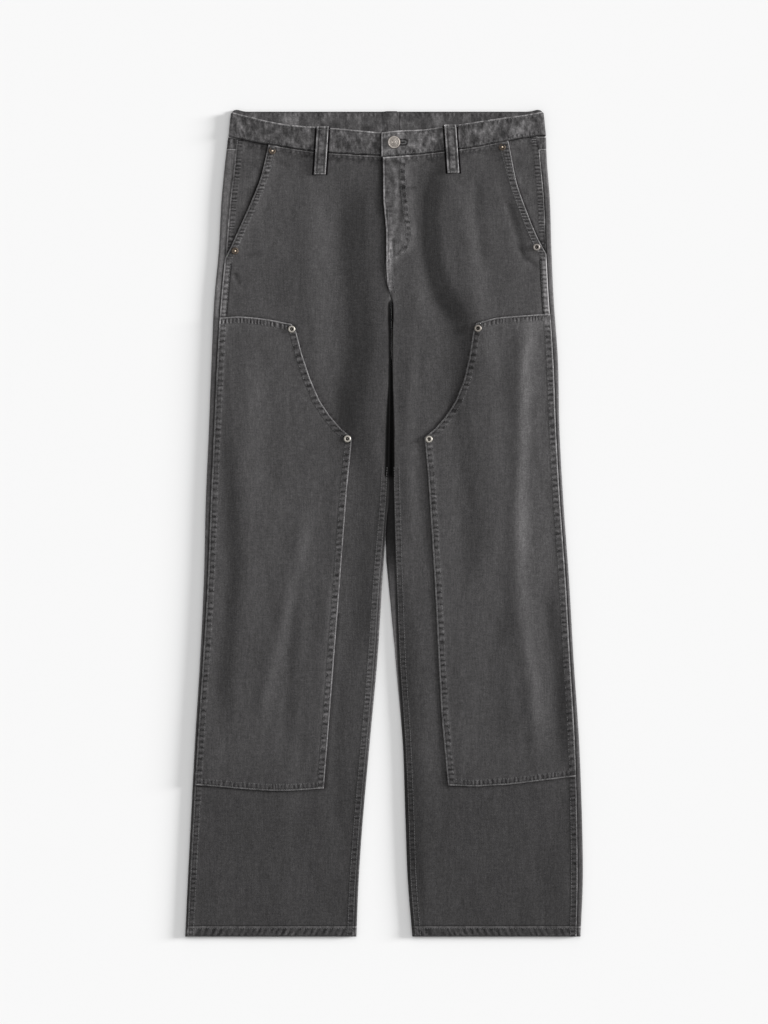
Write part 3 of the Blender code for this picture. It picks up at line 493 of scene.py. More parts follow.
def cloud(x, y, seed):
    """Smooth random values from -1 to 1, one for each unit cell of the plane."""
    size = 97
    cells = np.random.default_rng(seed).random((size, size)) * 2.0 - 1.0
    left = np.floor(x).astype(int)
    low = np.floor(y).astype(int)
    across = soft_step(x - left)
    up = soft_step(y - low)
    bottom = mix(cells[left % size, low % size], cells[(left + 1) % size, low % size], across)
    top = mix(cells[left % size, (low + 1) % size], cells[(left + 1) % size, (low + 1) % size], across)
    return mix(bottom, top, up)


def pucker_phase(along, seed):
    """Uneven wave phase along a seam, one turn for each pucker."""
    drift = cloud(along / 19.0, np.full_like(along, 0.5), seed) * 0.8
    return 2.0 * math.pi * (along / PUCKER_PITCH + drift)


def bell(value, middle, half_width):
    """One in the middle, falling away softly on both sides."""
    return np.exp(-((value - middle) / half_width) ** 2)


def beside(distance, width):
    """One at an edge, falling away on one side of it."""
    return np.where(distance >= 0.0, np.exp(-np.maximum(distance, 0.0) / width), 0.0)


# Outline of the garment

def leg(side, level, column):
    value = smooth(LEGS[side], "level", column, level)
    return np.maximum(value, 0.0) if "inset" in column else value


def arc_of_inset(inset):
    """How far round the folded edge a seam lies that shows this far in from the outline."""
    on_flat = QUARTER + inset - FOLD_RADIUS
    on_arc = FOLD_RADIUS * np.arccos(1.0 - np.clip(inset, 0.0, FOLD_RADIUS) / FOLD_RADIUS)
    return np.where(inset >= FOLD_RADIUS, on_flat, on_arc)


def fold_point(arc):
    """Inset and height of a point so far round the folded edge, from its outermost line."""
    angle = np.clip(arc, -QUARTER, QUARTER) / FOLD_RADIUS
    beyond = np.maximum(np.abs(arc) - QUARTER, 0.0)
    inset = FOLD_RADIUS * (1.0 - np.cos(angle)) + beyond
    return inset, FOLD_RADIUS * (1.0 + np.sin(angle))


def fold_top(inset):
    """Height of the folded edge's upper side at this inset."""
    reach = FOLD_RADIUS - np.clip(inset, 0.0, FOLD_RADIUS)
    return FOLD_RADIUS + np.sqrt(FOLD_RADIUS ** 2 - reach ** 2)


def opened(level):
    """Zero on the legs, one above the crotch."""
    return soft_step((level - CROTCH_LEVEL) / CROTCH_OPENS)


def side_seam_out(side, level):
    arc = arc_of_inset(leg(side, level, "side_inset")) + SEAM_GAP / 2
    return leg(side, level, "outer") - fold_point(arc)[0]


def mouth_bottom(side):
    return min(row.level for row in MOUTHS[side])


def front_outer(side, level):
    seam = side_seam_out(side, level)
    mouth = smooth(MOUTHS[side], "level", "out", level)
    return np.where(level > mouth_bottom(side), np.minimum(seam, mouth), seam)


def fly_edge(level):
    return straight(CENTRE, "level", "front", level)


def underlap(level):
    return mix(-SEAM_GAP / 2, FLY_UNDERLAP, soft_step((level - FLY_END_LEVEL + 7.0) / 13.0))


def front_inner(side, level):
    arc = arc_of_inset(leg(side, level, "inseam_inset")) + SEAM_GAP / 2
    in_leg = leg(side, level, "inner") + fold_point(arc)[0]
    if side == "left":
        centre = fly_edge(level) + SEAM_GAP / 2
    else:
        centre = -(fly_edge(level) + underlap(level))
    return np.where(level <= CROTCH_LEVEL, in_leg, centre)


def band_edge(side, out, column):
    """Level of the waistband's top or bottom edge in front."""
    return smooth(BANDS[side], "out", column, out)


def knee_edge(side, level):
    return straight(KNEES[side], "level", "edge", level)


def knee_end(side, column, out):
    return smooth(KNEE_ENDS[side], "out", column, out)


def hem_pucker(out, from_hem, seed):
    """Amount and phase of the slanting puckers of the hem."""
    along = (out + 0.5 * from_hem) * HEM_PUCKERS
    return rope_band(from_hem, 0.5, HEM_DEPTH), pucker_phase(along, seed + 2)


def fly_plateau(side, level):
    """Width of the flat strip beside the centre that the fly takes up."""
    if side == "right":
        width = underlap(level)
    else:
        width = smooth(FLY, "level", "stitch", level) - fly_edge(level)
    return np.where(level <= CROTCH_LEVEL, 0.0, np.maximum(width, 0.0))


def fold_rise(fold, out, level):
    t = (fold.top_level - level) / (fold.top_level - fold.bottom_level)
    inside = (t > 0.0) & (t < 1.0)
    t = np.clip(t, 0.0, 1.0)
    upper = mix(fold.top_out, fold.mid_out, t * 2)
    lower = mix(fold.mid_out, fold.bottom_out, t * 2 - 1)
    middle = mix(upper, lower, t) + 3.0 * np.sin(level / 47.0 + fold.top_out)
    taper = soft_step(t / 0.22) * soft_step((1.0 - t) / 0.22)
    bump = bell(out, middle, fold.half_width)
    return np.where(inside, fold.rise * taper * bump, 0.0)


def rumple(side, out, level):
    """Small soft unevenness of washed cloth, longer along the leg than across."""
    seed = 11 if side == "right" else 12
    broad = 0.42 * cloud(out / 26.0, level / 95.0, seed)
    middle = 0.20 * cloud(out / 11.0, level / 34.0, seed + 10)
    fine = 0.07 * cloud(out / 4.5, level / 9.0, seed + 20)
    return broad + middle + fine


def front_height(side, out, level):
    """Height of the front's upper face, without its seams' relief."""
    height = REST_HEIGHT + rumple(side, out, level)
    for fold in FOLDS[side]:
        height = height + fold_rise(fold, out, level)
    height = np.clip(height, LOWEST_TOP, HIGHEST_TOP)
    outer_gap = front_outer(side, level) - out
    above = level > mouth_bottom(side)
    rim = mix(EDGE_HEIGHT, MOUTH_HEIGHT, soft_step((level - mouth_bottom(side)) / 40.0))
    height = mix(rim, height, soft_step(outer_gap / np.where(above, MOUTH_EDGE, SOFT_EDGE)))
    inner_gap = out - front_inner(side, level) - fly_plateau(side, level)
    reach = np.where(level > CROTCH_LEVEL + CROTCH_OPENS, FLY_SOFT_EDGE, SOFT_EDGE)
    from_fold = out - leg(side, level, "inner")
    target = FLY_HEIGHT if side == "left" else UNDERLAP_HEIGHT
    flat = mix(EDGE_HEIGHT, target, soft_step((level - CROTCH_LEVEL - 8.0) / 45.0))
    edge = mix(fold_top(from_fold), flat, opened(level))
    return mix(edge, height, soft_step(inner_gap / reach))


def fold_tone(side, out, level):
    """Tone from the folds, the spots and the height on the leg: partly dye rubbed off ridges and worn
    places, partly painted shade in the troughs and painted light on the ridges.
    """
    total = np.interp(level, *table_rows(LEG_TONE, "level", "tone"))
    for fold in FOLDS[side]:
        unit = fold._replace(rise=1.0)
        total = total + fold.tone * fold_rise(unit, out, level)
    x = out * sign_of(side)
    for spot in TONES:
        far = ((x - spot.x) / spot.half_x) ** 2 + ((level - spot.level) / spot.half_level) ** 2
        total = total + spot.tone * np.exp(-far)
    return total


def gap_shade(side, out, level):
    """The deep crease where the two legs lie against each other."""
    reach = straight(GAP, "level", side, level)
    depth = straight(GAP, "level", "depth", level)
    return depth * np.exp(-(np.maximum(out - leg(side, level, "inner"), 0.0) / reach) ** 6)


def crease_tone(x, level):
    """Tone of the creases drawn one by one: painted shade in the dark ones, rubbed wear and painted light
    in the pale ones.
    """
    total = np.zeros_like(x)
    for crease in CREASES:
        run_x, run_level = crease.end_x - crease.x, crease.end_level - crease.level
        t = ((x - crease.x) * run_x + (level - crease.level) * run_level) / (run_x ** 2 + run_level ** 2)
        t = np.clip(t, 0.0, 1.0)
        far = np.hypot(x - crease.x - t * run_x, level - crease.level - t * run_level)
        total = total + crease.tone * bell(far, 0.0, crease.half_width)
    return total


def shade_strip_width(side, level):
    """How far a leg's underside is spread into the gap as a strip that stands for the shade there: the
    right one above, the left one below.
    """
    width = np.maximum(leg("left", level, "inner") + leg("right", level, "inner") + 0.3, 0.0)
    if side == "right":
        return width * soft_step((CROTCH_LEVEL - 60.0 - level) / 40.0) * soft_step((level - 5.0) / 40.0)
    most = np.interp(level, (-300.0, -165.0, -100.0, -48.0), (0.0, 3.4, 7.4, 11.0))
    return np.minimum(width, most) * soft_step((60.0 - level) / 40.0)


def rope_band(distance, first=1.2, last=9.6):
    """Where the puckers of a twin row of stitches lie, from 0 to 1."""
    return soft_step((distance - first) / 1.2) * soft_step((last - distance) / 1.8)


def seam_relief(edge, rope, phase, strength=1.0):
    """A stitched edge: raised puckers between the rows and a rounded lip."""
    ripple = 0.14 * np.sin(phase) * rope + 0.22 * rope
    lip = -0.12 * np.exp(-np.maximum(edge, 0.0) / 0.8)
    return strength * ripple + lip


def strongest(*seams):
    """Of several seams as (rope, phase), the stronger rope at each point and its phase."""
    ropes = np.stack([seam[0] for seam in seams])
    phases = np.stack([seam[1] for seam in seams])
    which = np.argmax(ropes, axis=0)
    take = np.arange(ropes.shape[1])
    return ropes[which, take], phases[which, take]


# Meshes

def new_piece(name, mesh):
    piece = bpy.data.objects.new(name, mesh)
    bpy.context.scene.collection.objects.link(piece)
    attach(piece, "root")
    return piece


def add_values(mesh, **values):
    for name, data in values.items():
        attribute = mesh.attributes.new(name, "FLOAT", "POINT")
        attribute.data.foreach_set("value", np.ascontiguousarray(data, np.float32))


def finish_mesh(name, bm):
    mesh = bpy.data.meshes.new(name)
    bm.to_mesh(mesh)
    bm.free()
    return mesh


def points_of(mesh):
    points = np.empty(len(mesh.vertices) * 3, np.float32)
    mesh.vertices.foreach_get("co", points)
    return points.reshape(-1, 3)


def cloth_piece(name, columns, rows, place, thickness):
    """A grid bent to shape by place(u, v).

    It gives x, level, height, distance to the edge, rope, phase, tone and crush.
    """
    bm = bmesh.new()
    bmesh.ops.create_grid(bm, x_segments=columns, y_segments=rows, size=0.5)
    mesh = finish_mesh(name, bm)
    grid = points_of(mesh).astype(float)
    x, level, height, edge, rope, phase, tone, crush = place(grid[:, 0] + 0.5, grid[:, 1] + 0.5)
    shaped = np.stack([x, level, height], axis=1) * MM
    mesh.vertices.foreach_set("co", shaped.astype(np.float32).ravel())
    add_values(mesh, edge=edge, rope=rope, phase=phase, tone=tone, crush=crush)
    mesh.shade_smooth()
    mesh.update()
    piece = new_piece(name, mesh)
    wall = piece.modifiers.new("cloth", "SOLIDIFY")
    wall.thickness = thickness * MM
    wall.offset = -1.0
    wall.use_even_offset = True
    mesh.materials.append(bpy.data.materials["washed canvas"])
    return piece


def sign_of(side):
    return 1.0 if side == "left" else -1.0


def share_of(side, u):
    return u if side == "left" else 1.0 - u


def dense_ends(share, width, strip=16.0, part=0.24):
    """Spreads grid columns so that strips at both edges are finer than the middle."""
    edge = strip / width
    low = share / part * edge
    middle = edge + (share - part) / (1.0 - 2.0 * part) * (1.0 - 2.0 * edge)
    high = 1.0 - (1.0 - share) / part * edge
    return np.where(share < part, low, np.where(share > 1.0 - part, high, middle))


def fly_columns(share, width):
    """Spreads the left front's grid columns: finest at both edges, fine over the fly."""
    near = np.interp(share, (0.0, 0.08, 0.36), (0.0, 6.0, 50.0)) / width
    middle = mix(50.0 / width, 1.0 - 15.0 / width, (share - 0.36) / 0.46)
    far = 1.0 - (1.0 - share) / 0.18 * 15.0 / width
    return np.where(share < 0.36, near, np.where(share > 0.82, far, middle))


# Cloth pieces

def slant(values_at, level):
    """How much shorter a distance is across a slanted line than along X."""
    slope = (values_at(level + 3.0) - values_at(level - 3.0)) / 6.0
    return 1.0 / np.sqrt(1.0 + slope ** 2)


def fly_curve():
    """The curved outer row of the fly as (x, level, run) down to the fly's edge."""
    levels = np.arange(478.0, 335.9, -2.0)
    x = smooth(FLY, "level", "stitch", levels)
    steps = np.hypot(np.diff(x), np.diff(levels))
    return x, levels, np.concatenate([[0.0], np.cumsum(steps)])


def to_route(x, level, route_x, route_level, run):
    """Distance from each point to a route, and how far along the route it is."""
    gaps = np.hypot(x[:, None] - route_x[None, :], level[:, None] - route_level[None, :])
    which = np.argmin(gaps, axis=1)
    return gaps[np.arange(len(x)), which], run[which]


def fly_rope(x, level):
    """Puckers between the fly's two curved rows, with their phase."""
    near = (x > -4.0) & (x < 48.0) & (level > 325.0)
    rope = np.zeros_like(x)
    phase = np.zeros_like(x)
    route_x, route_level, run = fly_curve()
    gap, along = to_route(x[near], level[near], route_x - 3.2, route_level + 0.6, run)
    fade = mix(0.35, 1.3, soft_step((level[near] - 352.0) / 45.0))
    rope[near] = fade * soft_step((4.6 - gap) / 2.0)
    phase[near] = pucker_phase(along * FLY_PUCKER_STRETCH, 47)
    return rope, phase


def felled_part(side, level):
    """One where the side seam is felled, from the pocket mouth down."""
    return soft_step((mouth_bottom(side) - level) / 8.0) * soft_step((level - FELL_END) / 4.0)


def knee_shadow(side, out, level):
    """Dark line on the front along the outside of the knee panel's edge."""
    inner = (knee_edge(side, level) - out) * slant(lambda k: knee_edge(side, k), level)
    top = level - knee_end(side, "top", out)
    bottom = knee_end(side, "bottom", out) - level
    on_side = (level < KNEE_TOP) & (level > KNEE_BOTTOM)
    total = np.where(on_side, beside(inner, 1.3), 0.0)
    total = total + np.where(out > knee_edge(side, KNEE_TOP), beside(top, 1.2), 0.0)
    return total + np.where(out > knee_edge(side, KNEE_BOTTOM), beside(bottom, 1.4), 0.0)


def front_place(side):
    def place(u, v):
        share = share_of(side, u)
        hem_part = 0.03
        low = HEM_LEVEL + v / hem_part * (HEM_DEPTH + 5.0)
        high = mix(HEM_LEVEL + HEM_DEPTH + 5.0, FRONT_TOP, (v - hem_part) / (1.0 - hem_part))
        level = np.where(v < hem_part, low, high)
        start = front_inner(side, level)
        width = front_outer(side, level) - start
        spread = fly_columns if side == "left" else dense_ends
        out = start + width * spread(share, width)
        top = band_edge(side, out, "bottom") - SEAM_GAP
        lift = soft_step((level - FRONT_TOP_START) / (FRONT_TOP - FRONT_TOP_START))
        level = level + (top - FRONT_TOP) * lift
        x = sign_of(side) * out
        from_inner = out - start
        from_outer = (start + width - out) * slant(lambda k: front_outer(side, k), level)
        from_hem = level - HEM_LEVEL
        from_top = top - level
        seed = 31 if side == "right" else 41
        in_legs = soft_step((CROTCH_LEVEL + 30.0 - level) / 20.0)
        low_legs = soft_step((INSEAM_SHOWS - level) / 45.0)
        at_fly = 0.0 if side == "right" else 0.35 * opened(level)
        inner_rope = rope_band(from_inner) * (low_legs * (1.0 if side == "right" else 0.7) + at_fly)
        finer = np.where(level > mouth_bottom(side), MOUTH_PUCKERS, 1.0)
        side_rope = rope_band(from_outer) * np.where(level > mouth_bottom(side), 1.25, 1.0)
        seams = [
            (side_rope, pucker_phase(level * finer, seed)),
            (inner_rope, pucker_phase(level, seed + 1)),
            hem_pucker(out, from_hem, seed),
            (0.7 * rope_band(from_top, 1.5, 7.5), pucker_phase(out, seed + 3)),
        ]
        if side == "left":
            seams.append(fly_rope(x, level))
        rope, phase = strongest(*seams)
        above_mouth = soft_step((level - mouth_bottom(side)) / 8.0)
        shy = 0.3 * UNLIT_EDGE if side == "right" else LIT_EDGE
        fly_shy = 3.0 * in_legs + UNLIT_EDGE * (1.0 - in_legs)
        edge = np.minimum(np.minimum(from_inner + fly_shy, from_outer + shy), from_top - 0.2)
        edge = np.minimum(edge, np.abs(from_hem - HEM_DEPTH) + 0.6)
        felled = felled_part(side, level)
        groove = felled * bell(from_outer, FELL_WIDTH, 1.2)
        on_fell = felled * soft_step((FELL_WIDTH - from_outer) / 1.5)
        height = front_height(side, out, level)
        height = height + seam_relief(edge, rope, phase, np.where(from_inner < 12.0, 0.6, 1.0))
        height = height + 0.5 * on_fell - 0.7 * groove
        height = height + 1.7 * soft_step((12.0 - from_top) / 8.0) - 0.4 * np.exp(-from_top / 0.8)
        crush = np.maximum(0.6 * soft_step((16.0 - from_top) / 9.0), 0.25 * np.clip(rope, 0.0, 1.0))
        rubbed = 0.95 if side == "left" else 0.62
        tone = fold_tone(side, out, level) - 1.1 * groove + rubbed * on_fell
        tone = tone + 0.45 * above_mouth * bell(from_outer, 7.6, 1.0)
        tone = tone - 1.3 * knee_shadow(side, out, level)
        blotches = cloud(out / 5.5, level / 5.0, seed + 5) * soft_step((15.0 - from_top) / 8.0)
        tone = tone + 0.45 * blotches * soft_step((from_top - 1.5) / 2.0)
        tone = tone - GAP_SHADE_STRENGTH * gap_shade(side, out, level)
        tone = tone - 0.30 * bell(from_top, 6.5, 2.5)
        tone = tone - 0.4 * bell(from_hem, HEM_DEPTH + 1.6, 1.2)
        if side == "right":
            # Painted shadow on the right front beside the fly's edge.
            tone = tone - 2.6 * beside(out + fly_edge(level), 2.6) * opened(level)
        else:
            on_fly = soft_step((fly_plateau(side, level) + 8.0 - from_inner) / 10.0) * opened(level)
            creases = cloud(out / 5.2, level / 8.0, 48) + 0.8 * cloud(out / 9.0, level / 17.0, 49)
            tone = tone + on_fly * (0.26 * creases + 0.20)
            tone = tone + 0.55 * bell(from_inner, 1.6, 1.3) * opened(level)
            height = height + 0.2 * on_fly * creases
            crush = np.maximum(crush, 0.38 * on_fly)
        drawn = crease_tone(x, level)
        tone = tone + drawn
        height = height + 0.5 * drawn
        return x, level, height, edge, rope, phase, tone, crush
    return place


def knee_place(side):
    def place(u, v):
        share = share_of(side, u)
        bottom_row = straight(KNEE_ENDS[side], "out", "bottom", 150.0)
        level = mix(bottom_row, KNEE_TOP, dense_ends(v, KNEE_TOP - bottom_row, 14.0, 0.04))
        start = knee_edge(side, level)
        width = side_seam_out(side, level) - 0.4 - start
        out = start + width * dense_ends(share, width, 16.0, 0.2)
        top = knee_end(side, "top", out)
        bottom = knee_end(side, "bottom", out)
        up = soft_step((level - 200.0) / (KNEE_TOP - 200.0))
        down = soft_step((-290.0 - level) / (-290.0 - bottom_row))
        level = level + (top - KNEE_TOP) * up + (bottom - bottom_row) * down
        from_inner = (out - start) * slant(lambda k: knee_edge(side, k), level)
        from_inner = np.maximum(from_inner, 0.0)
        from_outer = start + width - out
        from_top = np.maximum(top - level, 0.0)
        from_bottom = np.maximum(level - bottom, 0.0)
        seed = 51 if side == "right" else 61
        rope, phase = strongest(
            (1.15 * rope_band(from_outer), pucker_phase(level * KNEE_PUCKERS, seed)),
            (1.25 * rope_band(from_inner), pucker_phase(level * KNEE_PUCKERS, seed + 1)),
            (1.30 * rope_band(from_top), pucker_phase(out * 1.30, seed + 2)),
            (rope_band(from_bottom), pucker_phase(out * 1.15, seed + 3)),
        )
        inner_shy = LIT_EDGE if side == "right" else UNLIT_EDGE
        outer_shy = 0.3 * UNLIT_EDGE if side == "right" else LIT_EDGE
        edge = np.minimum(np.minimum(from_inner + inner_shy, from_outer + outer_shy),
                          np.minimum(from_top, from_bottom))
        height = front_height(side, out, level) + CLOTH + LAYER_GAP + 0.25
        height = height + seam_relief(edge, rope, phase, 1.1)
        tone = fold_tone(side, out, level) + 0.06
        second_row = bell(np.minimum(from_inner, from_top), 10.6, 1.0)
        tone = tone + 0.18 * second_row
        crush = 0.3 * np.clip(rope, 0.0, 1.0)
        return sign_of(side) * out, level, height, edge, rope, phase, tone, crush
    return place


def seat_seam_out(side, level):
    return straight(CENTRE, "level", "back", level) * sign_of(side)


def back_point(side, share, side_level, centre_level):
    """A point of the back panel's outer face, run from side seam round to inseam."""
    zone = 0.42
    start = arc_of_inset(leg(side, side_level, "side_inset")) - SEAM_GAP / 2
    arc = mix(start, -QUARTER - 4.0, np.clip(share / zone, 0.0, 1.0))
    inset, side_height = fold_point(arc)
    side_out = leg(side, side_level, "outer") - inset
    end = arc_of_inset(leg(side, centre_level, "inseam_inset")) - SEAM_GAP / 2
    t = np.clip((share - 1.0 + zone) / zone, 0.0, 1.0)
    inner_arc = mix(-QUARTER - 4.0, end, t)
    inner_inset, inner_height = fold_point(inner_arc)
    wrapped = leg(side, centre_level, "inner") + inner_inset
    flat = seat_seam_out(side, centre_level) + SEAM_GAP / 2 + (1.0 - t) * 8.0
    flatness = opened(centre_level)
    # A strip of the underside is spread into the gap between the legs to stand for the shade there; the
    # painted gap shade darkens it.
    tongue = bell(inner_arc, -0.9, 1.4)
    wrapped = wrapped - shade_strip_width(side, centre_level) * tongue
    inner_out = mix(wrapped, flat, flatness)
    inner_height = mix(inner_height, 0.0, flatness)
    middle = np.clip((share - zone) / (1.0 - 2.0 * zone), 0.0, 1.0)
    out = np.where(share < zone, side_out, np.where(share > 1.0 - zone, inner_out,
                                                    mix(side_out, inner_out, middle)))
    height = np.where(share < zone, side_height, np.where(share > 1.0 - zone, inner_height, 0.0))
    to_side = np.abs(start - arc)
    to_inner = np.abs(end - inner_arc)
    return out, height, to_side, to_inner


def yoke_seam_level(side, out):
    """The yoke's lower seam rises from the centre back to the side."""
    share = (out - seat_seam_out(side, YOKE_BACK_LEVEL)) / YOKE_REACH
    return mix(YOKE_BACK_LEVEL, YOKE_SIDE_LEVEL, np.clip(share, 0.0, 1.0))


def on_top(height):
    """One where a turned-up edge lies on top, zero on the underside."""
    return soft_step((height - 2.6) / 2.0)


def under_tone(out, level):
    """Soft unevenness of the dye on the side that lies down."""
    broad = 0.16 * cloud(out / 30.0, level / 80.0, 63)
    return broad + 0.12 * cloud(out / 7.0, level / 60.0, 64) - 0.12


def back_place(side):
    def place(u, v):
        share = share_of(side, u)
        hem_part = 0.05
        near_hem = v / hem_part * HEM_SHARE
        v = np.where(v < hem_part, near_hem, mix(HEM_SHARE, 1.0, (v - hem_part) / (1.0 - hem_part)))
        side_level = mix(HEM_LEVEL, YOKE_SIDE_LEVEL - SEAM_GAP, v)
        centre_level = mix(HEM_LEVEL, YOKE_BACK_LEVEL - SEAM_GAP, v)
        out, height, to_side, to_inner = back_point(side, share, side_level, centre_level)
        level = mix(HEM_LEVEL, yoke_seam_level(side, out) - SEAM_GAP, v)
        seed = 31 if side == "right" else 41
        from_hem = level - HEM_LEVEL
        spread = shade_strip_width(side, level)
        rope, phase = strongest(
            (0.5 * rope_band(to_inner, 0.5) * soft_step((INSEAM_SHOWS - level) / 45.0) * (spread < 0.5),
             pucker_phase(level, seed + 1)),
            hem_pucker(out, from_hem, seed),
        )
        edge = np.abs(from_hem - HEM_DEPTH) + 0.6
        height = height + seam_relief(edge, rope, phase, 0.8) * on_top(height)
        upper = on_top(height)
        at_side = 0.72 if side == "right" else 0.50
        near_side = np.where(share < 0.5, at_side, 0.12 if side == "right" else -0.15)
        tone = mix(under_tone(out, level), fold_tone(side, out, level) + near_side, upper)
        felled = felled_part(side, level)
        # Painted shade along the seams, beside the front's edges that lie over the back.
        tone = tone - (1.5 + 1.0 * felled) * bell(to_side, 0.0, 1.3) * upper
        tone = tone - 0.5 * bell(to_inner, 0.0, 1.2) * upper
        tone = tone - GAP_SHADE_STRENGTH * np.where(share > 0.5, gap_shade(side, out, level), 0.0)
        # The left leg's strip in the gap stands for the floor in shade: lower down it is painted paler as
        # that shade thins out.
        if side == "left":
            pale = np.interp(level, (-165.0, -100.0, -40.0), (1.7, 1.0, 0.0))
            tone = tone + pale * soft_step((leg(side, level, "inner") - out) / 1.5)
        return sign_of(side) * out, level, height, edge, rope, phase, tone, 0.2 * upper
    return place


def yoke_place(side):
    def place(u, v):
        share = share_of(side, u)
        side_level = mix(YOKE_SIDE_LEVEL, 503.0, v)
        centre_level = mix(YOKE_BACK_LEVEL, 503.0, v)
        out, height, to_side, _ = back_point(side, share, side_level, centre_level)
        behind = BAND_BACK_BOTTOM - SEAM_GAP
        before = band_edge(side, out, "bottom") - SEAM_GAP
        top = np.minimum(behind, mix(behind, before, np.clip(height / EDGE_HEIGHT, 0.0, 1.0)))
        level = mix(yoke_seam_level(side, out), top, v)
        seed = 71 if side == "right" else 73
        from_seam = np.minimum(level - yoke_seam_level(side, out), top - level)
        rope, phase = strongest(
            (0.5 * rope_band(to_side, 0.5), pucker_phase(level, seed)),
            (rope_band(from_seam), pucker_phase(out, seed + 1)),
        )
        edge = np.minimum(to_side + 3.0, np.maximum(from_seam, 0.0))
        height = height + seam_relief(edge, rope, phase, 0.8) * on_top(height)
        upper = on_top(height)
        tone = mix(under_tone(out, level), 0.35, upper)
        # Painted shade along the side seam, beside the front's edge.
        tone = tone - 1.3 * bell(to_side, 0.0, 1.3) * upper
        return sign_of(side) * out, level, height, edge, rope, phase, tone, 0.3 * upper
    return place


def facing_place(side):
    bottom = mouth_bottom(side) + 1.0

    def place(u, v):
        share = share_of(side, u)
        level = mix(bottom, FACING_TOP, v)
        edge = front_outer(side, level)
        seam_out = side_seam_out(side, level) - 0.2
        seam_out = np.maximum(seam_out, edge - 1.0)
        start = edge - 6.0
        out = mix(start, seam_out, share)
        top = band_edge(side, out, "bottom") - SEAM_GAP
        near_top = soft_step((level - FACING_TOP_START) / (FACING_TOP - FACING_TOP_START))
        level = level + (top - FACING_TOP) * near_top
        above = level - mouth_bottom(side)
        hidden = mix(EDGE_HEIGHT, MOUTH_HEIGHT, soft_step(above / 40.0)) - WELT_DROP
        shown = mix(EDGE_HEIGHT - WELT_DROP, EDGE_HEIGHT, soft_step((above - 8.0) / 45.0))
        t = soft_step((out - edge) / np.maximum(side_seam_out(side, level) - edge, 1.0))
        height = mix(hidden, shown, t) + 0.25 * cloud(out / 9.0, level / 18.0, 5)
        from_seam = seam_out - out
        shows = soft_step((out - edge) / 3.0)
        rope, phase = strongest(
            (1.3 * rope_band(from_seam) * shows, pucker_phase(level * MOUTH_PUCKERS, 81)),
            (0.7 * rope_band(top - level, 1.5, 7.5) * shows, pucker_phase(out, 82)),
        )
        height = height + seam_relief(from_seam, rope, phase, 0.8) * shows
        # Painted shadow on the pocket facing beside the mouth's edge, deeper and wider at the top on the
        # right side.
        deep = 1.9 if side == "left" else mix(2.0, 3.4, soft_step((level - 400.0) / 40.0))
        reach = 1.9 if side == "left" else mix(1.9, 2.8, soft_step((level - 400.0) / 40.0))
        tone = 0.10 - deep * bell(np.maximum(out - edge, 0.0), 0.0, reach)
        tone = tone + 0.25 * cloud(out / 8.0, level / 12.0, 83)
        shy = UNLIT_EDGE if side == "right" else LIT_EDGE
        edge = np.maximum(from_seam, 0.0) + shy
        crush = np.maximum(0.6 * soft_step((16.0 - top + level) / 9.0), 0.15)
        return sign_of(side) * out, level, height, edge, rope, phase, tone, crush
    return place


def band_path(side):
    """The waistband's route: out, height of its outer face, and how far round to the front."""
    edge = float(leg(side, np.array(BAND_SIDE_LEVEL), "outer")) - BAND_LEAN / 2
    radius = BAND_SIDE_HEIGHT / 2
    start = float(seat_seam_out(side, TOP_LEVEL))
    route = []
    for t in np.linspace(0.0, 1.0, 60):
        out = mix(start, edge - radius, t)
        over_loop = 1.3 * math.exp(-((out - BACK_LOOP_OUT) / 11.0) ** 4) if side == "right" else 0.0
        route.append((out, over_loop, 0.0))
    for t in np.linspace(0.0, 1.0, 16)[1:-1]:
        angle = math.pi * (t - 0.5)
        route.append((edge - radius + radius * math.cos(angle), radius + radius * math.sin(angle), t))
    end = -27.0 if side == "right" else -3.5
    for t in np.linspace(0.0, 1.0, 90):
        out = mix(edge - radius, end, t)
        if side == "right":
            height = mix(5.4, BAND_HEIGHT, float(soft_step((out - 6.0) / 18.0)))
        else:
            height = mix(BAND_END_HEIGHT, BAND_HEIGHT, float(soft_step((out - 26.0) / 14.0)))
        height = mix(BAND_SIDE_HEIGHT, height, float(soft_step((edge - out) / BAND_SIDE_REACH)))
        route.append((out, height, 1.0))
    return np.array(route)


def buttonhole_tone(out, level):
    """The dark slit of the buttonhole between its two worked edges."""
    past_end = np.maximum(out - SLIT_END, 0.0)
    before = np.maximum(SLIT_START - out, 0.0)
    gap = np.hypot(past_end + before, level - BUTTON.level)
    worked = 1.0 * bell(gap, 1.8, 0.9)
    return worked - 3.0 * bell(gap, 0.0, 0.8) - 2.6 * bell(gap, 3.4, 1.0)


